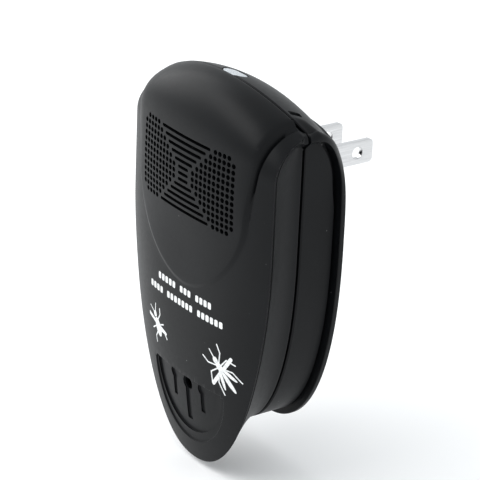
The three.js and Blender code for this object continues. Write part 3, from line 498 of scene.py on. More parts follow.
def rounded_rectangle(x_low, x_high, z_low, z_high, corner, steps=6):
    points = []
    centres = [(x_high, z_high, 0), (x_low, z_high, 1), (x_low, z_low, 2), (x_high, z_low, 3)]
    for x, z, quarter in centres:
        middle_x = x - corner if x == x_high else x + corner
        middle_z = z - corner if z == z_high else z + corner
        for i in range(steps + 1):
            angle = (quarter + i / steps) * math.pi / 2
            points.append((middle_x + corner * math.cos(angle), middle_z + corner * math.sin(angle)))
    return points


def apply_modifiers(obj):
    graph = bpy.context.evaluated_depsgraph_get()
    mesh = bpy.data.meshes.new_from_object(obj.evaluated_get(graph))
    obj.modifiers.clear()
    obj.data = mesh


def combine(body, tool, operation):
    """Joins, cuts or intersects body with tool, which is used up."""
    step = body.modifiers.new("combine", "BOOLEAN")
    step.operation = operation
    step.solver = "MANIFOLD"
    step.object = tool
    bpy.context.view_layer.update()
    apply_modifiers(body)
    bpy.data.objects.remove(tool)


def finish_mesh(obj, angle=32):
    """Smooth faces that stay sharp across edges over the angle."""
    work = bmesh.new()
    work.from_mesh(obj.data)
    bmesh.ops.dissolve_degenerate(work, dist=1e-7, edges=work.edges)
    for face in work.faces:
        face.smooth = True
    for edge in work.edges:
        edge.smooth = edge.calc_face_angle(0) < math.radians(angle)
    work.to_mesh(obj.data)
    work.free()


def dress(obj, node, material):
    """Gives a finished mesh its material and puts it in the place of a CAD part."""
    obj.data.materials.clear()
    obj.data.materials.append(material)
    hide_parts(node)
    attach(obj, "root")


# ---- Front cover ----

def cover_shell():
    lip_x, lip_v = lip_line()
    foot_x, foot_v = lip_line(1.0)
    crease, crease_x_line, crease_v = crease_line()
    seam_y = SEAM_Y - SEAM_HALF_GAP
    seam = seam_line(seam_y)
    seam_inner = seam_line(seam_y, WALL)
    n_top = COUNTS["top"]
    rings = []

    # The dome's plateau, which rolls down a little towards its lip beside the grille.
    dome_rings = 24
    turned_down = np.clip((np.arange(len(lip_v)) - n_top) / COUNTS["corner"], 0, 1)
    beside = turned_down * smooth(*BESIDE_GRILLE, lip_v)
    lip_roll = LIP_ROLL["drop"] * beside
    roll_start = LIP_ROLL["start"]
    for k in range(1, dome_rings + 1):
        share = k / dome_rings
        rolled = lip_roll * max(share - roll_start, 0) ** 2 / (1 - roll_start) ** 2
        rings.append(skin(lip_x * share, mix(DOME_MIDDLE_Z, lip_v, share), True, rolled))
    # The step down to the face. Over the roof these rings turn down into the seam instead.
    top_edge = rings[-1][:n_top].copy()
    lip_edge = skin(lip_x[:n_top], lip_v[:n_top] - ROOF_EDGE_RUN, True)
    rings[-1][:n_top] = lip_edge
    step_rings = 10
    for k in range(1, step_rings + 1):
        share = k / step_rings
        x = mix(lip_x, foot_x, share)
        v = mix(lip_v, foot_v, share)
        sunk_in = smooth(CHANNEL["start"], CHANNEL["full"], share)
        channel = CHANNEL["depth"] * beside * sunk_in * (1 - smooth(CHANNEL["end"], 1, share))
        wall = mix(float(smooth(0, 1, share)), float(smooth(0, CHANNEL["full"], share)), beside)
        ring = mix(skin(x, v, True, lip_roll), skin(x, v, False, channel), wall)
        down = top_edge - stack(0, 0, EDGE_RADIUS)
        ring[:n_top] = bezier(lip_edge, top_edge, down, share)
        rings.append(ring)
    # Face and shoulder, out to the crease.
    exact = crease - skin(crease_x_line, crease_v, False)
    face_rings = 22
    reach = 0.98
    for k in range(1, face_rings + 1):
        share = reach * k / face_rings
        x = mix(foot_x, crease_x_line, share)
        v = mix(foot_v, crease_v, share)
        rings.append(skin(x, v, False) + exact * share ** 3)
    # Round the crease, then back along the side to the seam.
    side = []
    side_rings = 20
    spacing = 1.15
    for k in range(side_rings + 1):
        share = (k / side_rings) ** spacing
        y = mix(crease[:, 1], seam[:, 1], share)
        end = np.minimum(RECESS_END_Y, seam[:, 1])
        drawn = np.clip((y - crease[:, 1]) / np.maximum(end - crease[:, 1], DRAW_RUN), 0, 1)
        ring = mix(crease, seam, 1 - (1 - drawn) ** DRAW_POWER)
        ring[:, 1] = y
        side.append(ring)
    rounded(rings, rings[-1], crease, side[2], CREASE["radius"])
    middle = stack(0, crease[:, 1], MIDDLE_Z)
    depth = CREASE["groove"] * turned_down
    groove_shares = (0.3, 0.6)
    for share in groove_shares:
        level = mix(side[2], side[3], share)
        rings.append(level + unit(middle - level) * depth[:, None])
    rings += side[3:-1]
    rounded(rings, side[-2], seam, seam_inner, EDGE_RADIUS)
    # Over the roof, the rings since the dome's edge share out the seam's face.
    first = dome_rings + step_rings
    last_top = rings[first - 1][:n_top]
    inner_top = seam_inner[:n_top]
    for i, ring in enumerate(rings[first:]):
        share = (i + 1) / (len(rings) - first + 1)
        ring[:n_top] = mix(last_top, inner_top, share)
    rings.append(seam_inner)
    # A thin tongue that reaches into the housing, so the seam is closed from inside.
    tongue_y = SEAM_Y + TONGUE["end"]
    outside = WALL + TONGUE["gap"]
    inside = outside + TONGUE["thickness"]
    rings += [seam_line(seam_y, outside), seam_line(tongue_y, outside), seam_line(tongue_y, inside)]
    # The inner wall and the inside of the face.
    inner_x, inner_v = inner_line()
    inner_edge = skin(inner_x, inner_v, False, WALL)
    wall_shares = (0.35, 0.7)
    for share in wall_shares:
        rings.append(mix(seam_line(seam_y, inside), inner_edge, share))
    inner_rings = 10
    for k in range(inner_rings, 0, -1):
        share = k / inner_rings
        rings.append(skin(inner_x * share, mix(DOME_MIDDLE_Z, inner_v, share), False, WALL))
    whole = [mirrored(ring) for ring in rings]
    first_point = skin(0.0, DOME_MIDDLE_Z, True)
    last_point = skin(0.0, DOME_MIDDLE_Z, False, WALL)
    return loft("front_cover_shell", first_point, whole, last_point)


def inner_line():
    """The inner wall's foot on the inside of the face, as (x, v)."""
    waist = inset(WAIST, WALL)
    half = waist[0]
    top_half = half - INNER_TOP_NARROWER
    top_v, corner_v, ledge_v = INNER_V
    lower_x, lower_v = low_outline(waist, ANGLE)
    x = by_stretch(
        top=top_half * U["top"],
        corner=mix(top_half, half, U["corner"]),
        ledge=np.full(COUNTS["ledge"], half),
        side=np.full(COUNTS["side"], half),
        lower=lower_x,
    )
    v = by_stretch(
        top=np.full(COUNTS["top"], top_v),
        corner=mix(top_v, corner_v, U["corner"]),
        ledge=mix(corner_v, ledge_v, U["ledge"]),
        side=mix(ledge_v, MIDDLE_Z, U["side"]),
        lower=lower_v,
    )
    return x, v


# Grille: a square grid of holes either side of an hourglass of slots.
GRILLE = {"pitch": 1.64, "hole": 0.66, "slot": 0.42, "columns": 10, "rows": 13, "first_x": 4.05}
SLOT_END = 1.15  # from the nearest hole's middle to the slot's end, in pitches
HOLE_SIDES = 14


def grille_outlines():
    loops = []
    half = (GRILLE["rows"] - 1) / 2
    last_column = GRILLE["columns"] - 1
    for row in range(GRILLE["rows"]):
        from_middle = abs(row - half)
        z = DOME_MIDDLE_Z + (half - row) * GRILLE["pitch"]
        last = int(min(last_column, GRILLE["columns"] - from_middle))
        first = 1 if from_middle == half else 0
        for column in range(first, last + 1):
            x = GRILLE["first_x"] + (last_column - column) * GRILLE["pitch"]
            loops.append(circle(x, z, GRILLE["hole"], HOLE_SIDES))
            loops.append(circle(-x, z, GRILLE["hole"], HOLE_SIDES))
        last_x = GRILLE["first_x"] + (last_column - last) * GRILLE["pitch"]
        loops.append(stadium(0, z, last_x - SLOT_END * GRILLE["pitch"], GRILLE["slot"], 6))
    return loops


# Keyhole panel low on the face.
PANEL = {"half": 14.4, "top": -54.5, "drop": 16.0, "depth": 0.95, "radius": 0.12}
SCOOP = {"half": 15.2, "top": -55.2, "drop": 18.0, "depth": 0.4, "radius": 0.2}
PANEL_MIDDLE = (0, -60.5)
KEYHOLES = [
    {"x": -6.2, "z": -56.4, "head": 1.7, "slot": 0.8, "length": 6.6},
    {"x": 0.0, "z": -56.9, "head": 2.0, "slot": 1.05, "length": 10.6},
    {"x": 6.2, "z": -56.4, "head": 1.7, "slot": 0.8, "length": 6.6},
]
KEYHOLE_DEPTH = 0.5
KEYHOLE_RADIUS = 0.2
PIERCED_SHARE = 0.9  # of the middle keyhole's head
# In front of the face a cutter's outline widens by that share of its radius and stands clear of it.
CUTTER = {"flare": 1.6, "clear": 4.0, "lip": 0.5, "overlap": 0.01}


def on_face(points, level):
    """Points (x, z) on the face, moved back by a level."""
    x, z = np.asarray(points).T
    return stack(x, face_y(x, z) + level, z)


def sunk(name, outline_at, centre, depth, radius):
    """A cutter whose floor follows the face at that depth, with rounded upper and lower edges.
    outline_at(grow) gives the outline's points, and centre lies inside it."""
    def ring(grow, level):
        return on_face(outline_at(grow), level)

    flare = radius * CUTTER["flare"]
    rings = [ring(flare, -CUTTER["clear"]), ring(flare, -CUTTER["lip"])]
    rings += [ring(radius * b, radius * a - CUTTER["overlap"]) for a, b in quarter_turn(4)]
    rings += [ring(-radius * a, depth - radius * b) for a, b in quarter_turn(4)]
    middle = np.array(centre)
    base = np.array(outline_at(-radius))
    for share in (0.8, 0.6, 0.4, 0.2):
        rings.append(on_face(middle + (base - middle) * share, depth))
    front, back = (on_face([centre], level)[0] for level in (-CUTTER["clear"], depth))
    return loft(name, front, rings, back)


def panel_outline(panel, grow, steps=48, side=14):
    """A straight top over a half ellipse."""
    half = panel["half"] + grow
    drop = panel["drop"] + grow
    angles = [math.pi * (1 + i / steps) for i in range(1, steps)]
    top = panel["top"] + grow
    points = [(half * math.cos(a), panel["top"] + drop * math.sin(a)) for a in angles]
    edge = [(half * (1 - 2 * i / side), top) for i in range(side + 1)]
    return points + edge


def keyhole_outline(keyhole, grow, steps=20):
    """A round head over a straight slot."""
    head = keyhole["head"] + grow
    slot = keyhole["slot"] + grow
    open_angle = math.asin(slot / head)
    start = -math.pi / 2 + open_angle
    turn = 2 * math.pi - 2 * open_angle
    angles = [start + turn * i / steps for i in range(steps + 1)]
    points = [(keyhole["x"] + head * math.cos(a), keyhole["z"] + head * math.sin(a)) for a in angles]
    foot = keyhole["z"] - keyhole["length"] - grow
    return points + [(keyhole["x"] - slot, foot), (keyhole["x"] + slot, foot)]


def front_cover(material):
    cover = cover_shell()
    tools = [prism_y("grille_tool", grille_outlines(), *GRILLE_CUT)]
    for panel in (SCOOP, PANEL):
        outline = partial(panel_outline, panel)
        tools.append(sunk("panel_tool", outline, PANEL_MIDDLE, panel["depth"], panel["radius"]))
    for keyhole in KEYHOLES:
        outline = partial(keyhole_outline, keyhole)
        centre = (keyhole["x"], keyhole["z"])
        tools.append(sunk("keyhole_tool", outline, centre, PANEL["depth"] + KEYHOLE_DEPTH, KEYHOLE_RADIUS))
    middle = KEYHOLES[1]
    pierced = circle(middle["x"], middle["z"], middle["head"] * PIERCED_SHARE)
    tools.append(prism_y("pierced_tool", [pierced], *FACE_CUT))
    for tool in tools:
        combine(cover, tool, "DIFFERENCE")
    finish_mesh(cover)
    dress(cover, "front_cover", material)


# ---- Rear housing ----

def recess_edge_y(z):
    """Depth of the recess's rear edge at height z: it curves forward under the ledge."""
    share = np.clip((z - RECESS_CORNER[1]) / (LEDGE_Z - RECESS_CORNER[1]), 0, 1)
    return RECESS_CORNER[0] + (FLANGE_Y - RECESS_CORNER[0]) * np.sqrt(np.maximum(1 - share ** 2, 0))


def shoulder_share(y):
    """How far the outer skin at depth y has turned from the shoulder into the flange."""
    return np.clip((y - SHOULDER_END_Y) / (PLUG_BACK_Y - SHOULDER_END_Y), 0, 1) ** 2


def flange_arc(x_low, x_high, share):
    """Points of the flange's upper outline between two half widths."""
    half, _, up, _, power = FLANGE
    low, high = (math.asin((x / half) ** (power / 2)) for x in (x_low, x_high))
    angle = low + (high - low) * share
    return half * np.sin(angle) ** (2 / power), MIDDLE_Z + up * np.cos(angle) ** (2 / power)


def rear_skin(seam):
    """The rear housing's outer skin, as a function of depth that gives the whole contour, and the
    depth of the finger recess's rear edge at each of its points."""
    n_top, n_corner = COUNTS["top"], COUNTS["corner"]
    n_upper = n_top + n_corner
    upper = np.arange(len(seam)) < n_upper
    turn = np.concatenate([np.zeros(n_top), U["corner"], np.ones(len(seam) - n_upper)])
    edge_y = np.where(upper, mix(UPPER_SPLIT_Y, RECESS_CORNER[0], turn), recess_edge_y(seam[:, 2]))
    # Below the shoulder, each point of the recess's edge keeps the height it has on the wall.
    turn_x, turn_z = FLANGE_TURN
    side_top = mix(LEDGE_Z, turn_z, shoulder_share(edge_y))
    down = np.clip((side_top - seam[:, 2]) / (side_top - MIDDLE_Z), 0, 1)
    side_z = mix(turn_z, MIDDLE_Z, down)
    low_x, low_z = low_outline(FLANGE, ANGLE)
    corner_x = high_half_width(FLANGE, turn_z)
    top = flange_arc(0, turn_x, U["top"] ** 2)
    corner = flange_arc(turn_x, corner_x, U["corner"])
    n_side = COUNTS["ledge"] + COUNTS["side"]
    beside = slice(n_upper, n_upper + n_side)
    side = side_z[beside]
    rear_x = np.concatenate([top[0], corner[0], high_half_width(FLANGE, side), low_x])
    rear_z = np.concatenate([top[1], corner[1], side, low_z])
    low_front_x = low_x * SHOULDER_X / FLANGE[0]
    front_x = np.concatenate([seam[:n_upper, 0], np.full(n_side, SHOULDER_X), low_front_x])
    front_z = np.concatenate([seam[:n_upper, 2], mix(LEDGE_Z, MIDDLE_Z, down[beside]), low_z])
    on_roof = np.arange(len(seam)) < n_top

    def outer(y):
        y = np.minimum(y, PLUG_BACK_Y)
        share = shoulder_share(y)
        lift = np.where(on_roof, 0.0, STEP - roof_step(y))
        fall = roof_z(front_x, seam[:, 1]) - roof_z(front_x, y)
        z = front_z + (lift - fall) * (1 - turn)
        return stack(mix(front_x, rear_x, share), y, mix(z, rear_z, share ** (2 - turn)))

    return outer, edge_y


def housing_shell():
    seam_y = SEAM_Y + SEAM_HALF_GAP
    seam = seam_line(seam_y)
    seam_inner = seam_line(seam_y, WALL)
    outer, edge_y = rear_skin(seam)
    upper = (np.arange(len(seam)) < COUNTS["top"] + COUNTS["corner"] + 1)[:, None]
    waist_z = seam[:, 2]
    outward = unit(stack(seam[:, 0], 0.0, (waist_z - MIDDLE_Z) * GROOVE["slant"]))
    fade = smooth(*GROOVE["fades"], waist_z)[:, None]

    def wall(y, depth=0.0):
        """The contour at depth y in front of the flange, sunk into the recessed wall."""
        recessed = stack(seam[:, 0], y, waist_z) - outward * (GROOVE["depth"] * depth * fade)
        return np.where(upper, outer(y), recessed)

    # The wall, or the roof and shoulder, back from the seam.
    width = mix(*GROOVE["width"], smooth(*GROOVE["widens"], waist_z)) * smooth(*GROOVE["narrows"], waist_z)
    end = edge_y - np.maximum(width, GROOVE["least"])
    rings = [toward(seam, seam_inner, EDGE_RADIUS)]
    wall_rings = 26
    for k in range(1, wall_rings + 1):
        rings.append(wall(mix(seam[:, 1], end, k / wall_rings)))
    # The groove in front of the flange, then the flange back to its rear edge.
    for share, depth in GROOVE["profile"]:
        rings.append(wall(mix(end, edge_y, share), depth))
    rounded(rings, rings[-1], outer(edge_y), outer(edge_y + 1), FLANGE_RADIUS)
    flange_rings = 16
    flange_end = PLUG_BACK_Y - 0.5
    for k in range(1, flange_rings):
        rings.append(outer(mix(edge_y + FLANGE_RADIUS, flange_end, k / flange_rings)))
    rim = outer(np.full(len(seam), PLUG_BACK_Y))

    def back(share):
        """The outside of the back wall, at a share of its outline."""
        return stack(rim[:, 0] * share, PLUG_BACK_Y, mix(MIDDLE_Z, rim[:, 2], share))

    plate = [back(share) for share in (0.85, 0.6, 0.35, 0.12)]
    rounded(rings, rings[-1], rim, plate[0], RIM_RADIUS)
    rings += plate
    # The inside, from the middle of the back wall out and forward to the seam.
    wall_x = np.minimum(seam_inner[:, 0], rim[:, 0] * INSIDE_SHARE)
    wall_z = np.minimum(seam_inner[:, 2], np.maximum(back(INSIDE_SHARE)[:, 2], MIDDLE_Z))
    inside = [stack(wall_x * share, INNER_BACK_Y, mix(MIDDLE_Z, wall_z, share)) for share in (0.2, 0.6, 1.0)]
    inside += [mix(inside[2], seam_inner, share) for share in (0.4, 0.75)]
    whole = [mirrored(ring) for ring in [*inside, seam_inner, *rings]]
    return loft("rear_housing_shell", (0, INNER_BACK_Y, MIDDLE_Z), whole, (0, PLUG_BACK_Y, MIDDLE_Z))


BOSS = {"half_x": 14.0, "low": -17.0, "high": 7.0, "corner": 6.0, "edge": 0.7, "taper": 0.3}
LENS = {"y": -22.5, "half_length": 3.8, "half_width": 2.1, "play": 0.2, "edge": 0.3, "sunk": 0.05}
LATCH = {"x": 21.4, "y": -19.8, "width": 1.5, "length": 3.6, "depth": 1.5, "corner": 0.25}
SLOT = {"play": 0.3, "half_z": 3.5, "corner": 0.3}  # round each blade
SCREW_WELL = {"x": 11.5, "z": -51.0, "radius": 3.1}


def plug_boss():
    """A rounded pad with softened edges, which carries the blades."""
    def ring(grow, y):
        half_x = BOSS["half_x"] + grow
        low, high = BOSS["low"] - grow, BOSS["high"] + grow
        points = np.array(rounded_rectangle(-half_x, half_x, low, high, BOSS["corner"] + grow, 8))
        return stack(points[:, 0], y, points[:, 1])

    edge, taper = BOSS["edge"], BOSS["taper"]
    middle = (BOSS["low"] + BOSS["high"]) / 2
    start_y = PLUG_BACK_Y - 1
    rings = [ring(taper, start_y), ring(taper, PLUG_BACK_Y), ring(taper / 2, PLUG_BACK_Y + 2)]
    rings += [ring(-edge * a, -edge * b) for a, b in quarter_turn(5)]
    return loft("boss_tool", (0, start_y, middle), rings, (0, 0, middle))


def rear_housing(material):
    housing = housing_shell()
    combine(housing, plug_boss(), "UNION")
    half_x = (BLADE_HIGH.x - BLADE_LOW.x) / 2 + SLOT["play"]
    half_z = SLOT["half_z"]
    slots = []
    wells = []
    for side in (-1, 1):
        x = side * (BLADE_HIGH.x + BLADE_LOW.x) / 2
        slots.append(rounded_rectangle(x - half_x, x + half_x, -half_z, half_z, SLOT["corner"], 2))
        wells.append(circle(side * SCREW_WELL["x"], SCREW_WELL["z"], SCREW_WELL["radius"], 32))
    hole = stadium(0, LENS["y"], LENS["half_length"] + LENS["play"], LENS["half_width"] + LENS["play"], 12)
    tools = [
        prism_y("slot_tool", slots, *BACK_CUT),
        prism_y("screw_tool", wells, *BACK_CUT),
        prism_z("lens_tool", [hole], *ROOF_CUT),
    ]
    floor_z = float(roof_z(LATCH["x"], LATCH["y"])) - LATCH["depth"]
    half_width = LATCH["width"] / 2
    front_y, back_y = LATCH["y"] - LATCH["length"] / 2, LATCH["y"] + LATCH["length"] / 2
    for x in (-LATCH["x"], LATCH["x"]):
        pocket = rounded_rectangle(x - half_width, x + half_width, front_y, back_y, LATCH["corner"], 3)
        tools.append(prism_z("latch_tool", [pocket], floor_z, ROOF_CUT[1]))
    for tool in tools:
        combine(housing, tool, "DIFFERENCE")
    finish_mesh(housing)
    dress(housing, "rear_housing", material)


# ---- Lens, blades and printing ----

def top_lens(material):
    """A frosted window that follows the roof, with a softened edge, and its rim under the wall."""
    def outline(shrink):
        half_length = LENS["half_length"] - shrink
        return np.array(stadium(0, LENS["y"], half_length, LENS["half_width"] - shrink, 14)).T

    def on_roof(x, y, level):
        return stack(x, y, roof_z(x, y) - level)

    edge, sunk_in = LENS["edge"], LENS["sunk"]
    bottom = (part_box("top_lens")[0] / MM).z + LENS["play"]
    rings = [stack(*outline(0), bottom)]
    for a, b in quarter_turn(5):
        x, y = outline(edge * a)
        rings.append(on_roof(x, y, edge * b + sunk_in))
    for share in (0.75, 0.5, 0.25):
        rings.append(on_roof(x * share, mix(LENS["y"], y, share), sunk_in))
    middle = (0, LENS["y"], bottom)
    lens = loft("top_lens_window", middle, rings, on_roof(*middle[:2], sunk_in))
    finish_mesh(lens, 40)
    dress(lens, "top_lens", material)


BLADE = {"height": 6.35, "nose": 10.0, "corner": 1.3, "hole": 1.6, "hole_y": 12.0, "edge": 0.18}


def blade(node, material):
    """A flat blade with a round-cornered nose, a hole and softened edges."""
    low, high = (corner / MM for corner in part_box(node))
    half = BLADE["height"] / 2
    steps = 6
    nose = rounded_rectangle(-half, half, high.y - BLADE["nose"], high.y, BLADE["corner"], steps)
    outline = nose[:2 * (steps + 1)] + [(-half, INNER_BACK_Y), (half, INNER_BACK_Y)]
    body = prism_x(node + "_pin", [outline], low.x, high.x)
    hole = circle(0, BLADE["hole_y"], BLADE["hole"], 36)
    combine(body, prism_x(node + "_tool", [hole], low.x - 1, high.x + 1), "DIFFERENCE")
    sharp = 40
    bevel = body.modifiers.new("soft_edges", "BEVEL")
    bevel.width = BLADE["edge"] * MM
    bevel.segments = 3
    bevel.limit_method = "ANGLE"
    bevel.angle_limit = math.radians(sharp)
    apply_modifiers(body)
    finish_mesh(body, sharp)
    dress(body, node, material)


def turned(loop, x, z, turn, scale=1.0):
    """An outline drawn about the origin, turned, scaled and put at (x, z)."""
    c = scale * math.cos(turn)
    s = scale * math.sin(turn)
    return [(x + a * c - b * s, z + a * s + b * c) for a, b in loop]


def ellipse(x, z, long, wide, angle, sides=28):
    """An ellipse whose long axis lies at that angle in degrees."""
    angles = [2 * math.pi * i / sides for i in range(sides)]
    flat = [(long * math.cos(a), wide * math.sin(a)) for a in angles]
    return turned(flat, x, z, math.radians(angle))


def stroke(points, width):
    """Straight strokes with round ends between the points, one outline each."""
    loops = []
    for (x0, z0), (x1, z1) in zip(points, points[1:]):
        half = math.hypot(x1 - x0, z1 - z0) / 2
        flat = stadium(0, 0, half + width / 2, width / 2, 5)
        loops.append(turned(flat, (x0 + x1) / 2, (z0 + z1) / 2, math.atan2(z1 - z0, x1 - x0)))
    return loops


# Two plain insects, head up, each with a bar across it. Ellipses are (x, z, long, wide, angle). Legs
# and lines are (width, points), and each leg is on both sides.
FLY = {
    "ellipses": (
        (0, 2.6, 0.8, 0.65, 90), (0, 1.0, 1.3, 0.75, 90), (0, -2.6, 2.6, 0.55, 90),
        (1.3, -1.5, 2.2, 0.42, -66), (-1.3, -1.5, 2.2, 0.42, 246),
    ),
    "legs": (
        (0.3, ((0.4, 1.6), (2.4, 3.2), (2.9, 5.0))),
        (0.3, ((0.4, 1.0), (3.0, 1.3), (4.4, -0.6))),
        (0.3, ((0.4, 0.5), (2.6, -1.4), (3.2, -4.2))),
    ),
    "lines": ((0.28, ((0, 3.2), (0, 5.2))), (0.85, ((-4.3, -0.9), (4.3, 0.9)))),
    "place": {"x": 15.4, "z": -47.0, "turn": math.radians(43), "scale": 1.25},
}
BEETLE = {
    "ellipses": ((0, 2.2, 0.75, 0.7, 90), (0, -0.9, 2.3, 1.15, 90)),
    "legs": (
        (0.26, ((0.3, 2.6), (1.5, 4.4))),
        (0.32, ((0.8, 0.8), (2.4, 1.7), (2.9, 3.0))),
        (0.32, ((0.9, -0.5), (2.9, -0.7))),
        (0.32, ((0.8, -1.8), (2.4, -2.7), (2.8, -4.1))),
    ),
    "lines": ((0.8, ((-2.9, 2.6), (2.9, -2.8))),),
    "place": {"x": -12.8, "z": -44.8, "turn": math.radians(28), "scale": 1.15},
}


def insect(shape):
    loops = [ellipse(*part) for part in shape["ellipses"]]
    for side in (1, -1):
        for width, leg in shape["legs"]:
            loops += stroke([(side * x, z) for x, z in leg], width)
    for width, line in shape["lines"]:
        loops += stroke(line, width)
    return [turned(loop, **shape["place"]) for loop in loops]


CAPTION_ROWS = ((-30.3, (5, 3, 4)), (-34.1, (4, 7, 6)))  # height, and the blocks in each group
BLOCK = {"pitch": 1.7, "width": 1.2, "height": 1.8, "corner": 0.35}


def block_rows():
    """Two rows of plain blocks, in groups, where a caption would be."""
    loops = []
    half_x, half_z = BLOCK["width"] / 2, BLOCK["height"] / 2
    for z, groups in CAPTION_ROWS:
        count = sum(groups) + len(groups) - 1
        x = -(count - 1) / 2 * BLOCK["pitch"]
        for group in groups:
            for _ in range(group):
                edges = (x - half_x, x + half_x, z - half_z, z + half_z)
                loops.append(rounded_rectangle(*edges, BLOCK["corner"], 3))
                x += BLOCK["pitch"]
            x += BLOCK["pitch"]
    return loops


INK = {"above": 0.035, "below": 0.03}
INK_FIELD = (-21.0, 24.0, -60.0, -27.0)


def printed_marks(material):
    """White ink on the face: a thin layer that follows it, cut to the marks' outlines."""
    x_low, x_high, z_low, z_high = INK_FIELD
    columns, rows = 60, 48
    x = np.linspace(x_low, x_high, columns)
    z = np.linspace(z_low, z_high, rows)
    grid_x, grid_z = np.meshgrid(x, z)
    points = np.stack([grid_x.ravel(), grid_z.ravel()], axis=1)
    layers = [on_face(points, -INK["above"]), on_face(points, INK["below"])]
    index, squares = grid(columns, rows)
    faces = []
    for square in squares:
        faces += [square, [v + index.size for v in reversed(square)]]
    border = [*index[0], *index[1:, -1], *index[-1, -2::-1], *index[-2:0:-1, 0]]
    for a, b in zip(border, border[1:] + border[:1]):
        faces.append((a, a + index.size, b + index.size, b))
    ink = solid("printed_marks", np.concatenate(layers), faces)
    first, *others = block_rows() + insect(BEETLE) + insect(FLY)
    shape = prism_y("ink_tool", [first], *INK_CUT)
    for loop in others:
        combine(shape, prism_y("ink_part", [loop], *INK_CUT), "UNION")
    combine(ink, shape, "INTERSECT")
    ink.data.materials.clear()
    ink.data.materials.append(material)
    finish_mesh(ink, 50)
    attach(ink, "root")


# ---- Materials ----

class Nodes:
    """A short way to build a material's node tree."""

    def __init__(self, name):
        self.material = bpy.data.materials.new(name)
        self.material.use_nodes = True
        self.tree = self.material.node_tree
        self.shader = self.tree.nodes["Principled BSDF"]
        self.coordinates = self.add("ShaderNodeTexCoord").outputs["Object"]

    def add(self, kind, **settings):
        node = self.tree.nodes.new(kind)
        for key, value in settings.items():
            if key in node.inputs:
                node.inputs[key].default_value = value
            else:
                setattr(node, key, value)
        return node

    def link(self, output, target):
        self.tree.links.new(output, target)
        return target.node

    def noise(self, scale, detail=3.0, stretch=(1, 1, 1)):
        mapping = self.add("ShaderNodeMapping")
        mapping.inputs["Scale"].default_value = stretch
        self.link(self.coordinates, mapping.inputs["Vector"])
        texture = self.add("ShaderNodeTexNoise", Scale=scale, Detail=detail)
        self.link(mapping.outputs["Vector"], texture.inputs["Vector"])
        return texture.outputs["Fac"]

    def ramp(self, value, stops):
        node = self.add("ShaderNodeValToRGB")
        elements = node.color_ramp.elements
        while len(elements) < len(stops):
            elements.new(0.5)
        for element, (position, color) in zip(elements, stops):
            element.position = position
            element.color = (*color, 1.0)
        self.link(value, node.inputs["Fac"])
        return node.outputs["Color"]

    def base_color(self, value, *stops):
        self.link(self.ramp(value, stops), self.shader.inputs["Base Color"])

    def bump(self, height, strength, distance):
        node = self.add("ShaderNodeBump", Strength=strength, Distance=distance)
        self.link(height, node.inputs["Height"])
        self.link(node.outputs["Normal"], self.shader.inputs["Normal"])

    def roughness(self, value, low, high):
        node = self.add("ShaderNodeMapRange")
        node.inputs["To Min"].default_value = low
        node.inputs["To Max"].default_value = high
        self.link(value, node.inputs["Value"])
        self.link(node.outputs["Result"], self.shader.inputs["Roughness"])


def scaled(color, factor):
    return tuple(min(c * factor, 1.0) for c in color)


CASING_BLACK = (0.0030, 0.0034, 0.0041)
DUST_GREY = (0.16, 0.16, 0.16)


def casing_plastic():
    """Satin black moulding: a fine grain, slow changes of tone, and a few specks of dust."""
    nodes = Nodes("casing_satin_black")
    tone = nodes.noise(scale=60, detail=4)
    body = nodes.ramp(tone, [(0.3, scaled(CASING_BLACK, 0.85)), (0.7, scaled(CASING_BLACK, 1.2))])
    dust = nodes.add("ShaderNodeTexVoronoi", Scale=330.0)
    nodes.link(nodes.coordinates, dust.inputs["Vector"])
    speck = nodes.ramp(dust.outputs["Distance"], [(0.035, (1, 1, 1)), (0.06, (0, 0, 0))])
    patch = nodes.ramp(nodes.noise(scale=210, detail=1), [(0.6, (0, 0, 0)), (0.68, (1, 1, 1))])
    both = nodes.add("ShaderNodeMix", data_type="RGBA", blend_type="MULTIPLY")
    both.inputs["Factor"].default_value = 1.0
    nodes.link(speck, both.inputs["A"])
    nodes.link(patch, both.inputs["B"])
    color = nodes.add("ShaderNodeMix", data_type="RGBA")
    color.inputs["B"].default_value = (*DUST_GREY, 1)
    nodes.link(both.outputs["Result"], color.inputs["Factor"])
    nodes.link(body, color.inputs["A"])
    nodes.link(color.outputs["Result"], nodes.shader.inputs["Base Color"])
    nodes.roughness(nodes.noise(scale=900, detail=2), low=0.36, high=0.46)
    nodes.bump(nodes.noise(scale=5200, detail=2), strength=0.12, distance=0.00002)
    nodes.shader.inputs["Specular IOR Level"].default_value = 0.15
    return nodes.material


def mottled(name, colors, tone, gloss, grain, stops=(0.3, 0.7)):
    """A surface whose tone, gloss and fine grain all vary a little."""
    nodes = Nodes(name)
    nodes.base_color(nodes.noise(tone["scale"], tone["detail"]), *zip(stops, colors))
    nodes.roughness(nodes.noise(gloss["scale"]), gloss["low"], gloss["high"])
    nodes.bump(nodes.noise(grain["scale"], 2), grain["strength"], grain["depth"])
    return nodes


def moulded(name, color, roughness=0.45, scale=500, variation=0.25):
    """Moulded or painted plastic."""
    return mottled(
        name, [scaled(color, 1 - variation), scaled(color, 1 + variation)],
        tone={"scale": scale, "detail": 3},
        gloss={"scale": scale * 2, "low": roughness - 0.06, "high": roughness + 0.06},
        grain={"scale": scale * 8, "strength": 0.15, "depth": 0.00003},
    ).material


def brushed(name, color, roughness=0.25, stretch=(1, 1, 1), scale=900):
    """Metal with fine drawn lines and uneven polish."""
    nodes = Nodes(name)
    lines = nodes.noise(scale, 4, stretch)
    nodes.base_color(lines, (0.35, scaled(color, 0.88)), (0.65, scaled(color, 1.06)))
    nodes.roughness(lines, roughness - 0.06, roughness + 0.1)
    nodes.shader.inputs["Metallic"].default_value = 1.0
    nodes.bump(lines, 0.1, 0.00003)
    return nodes.material


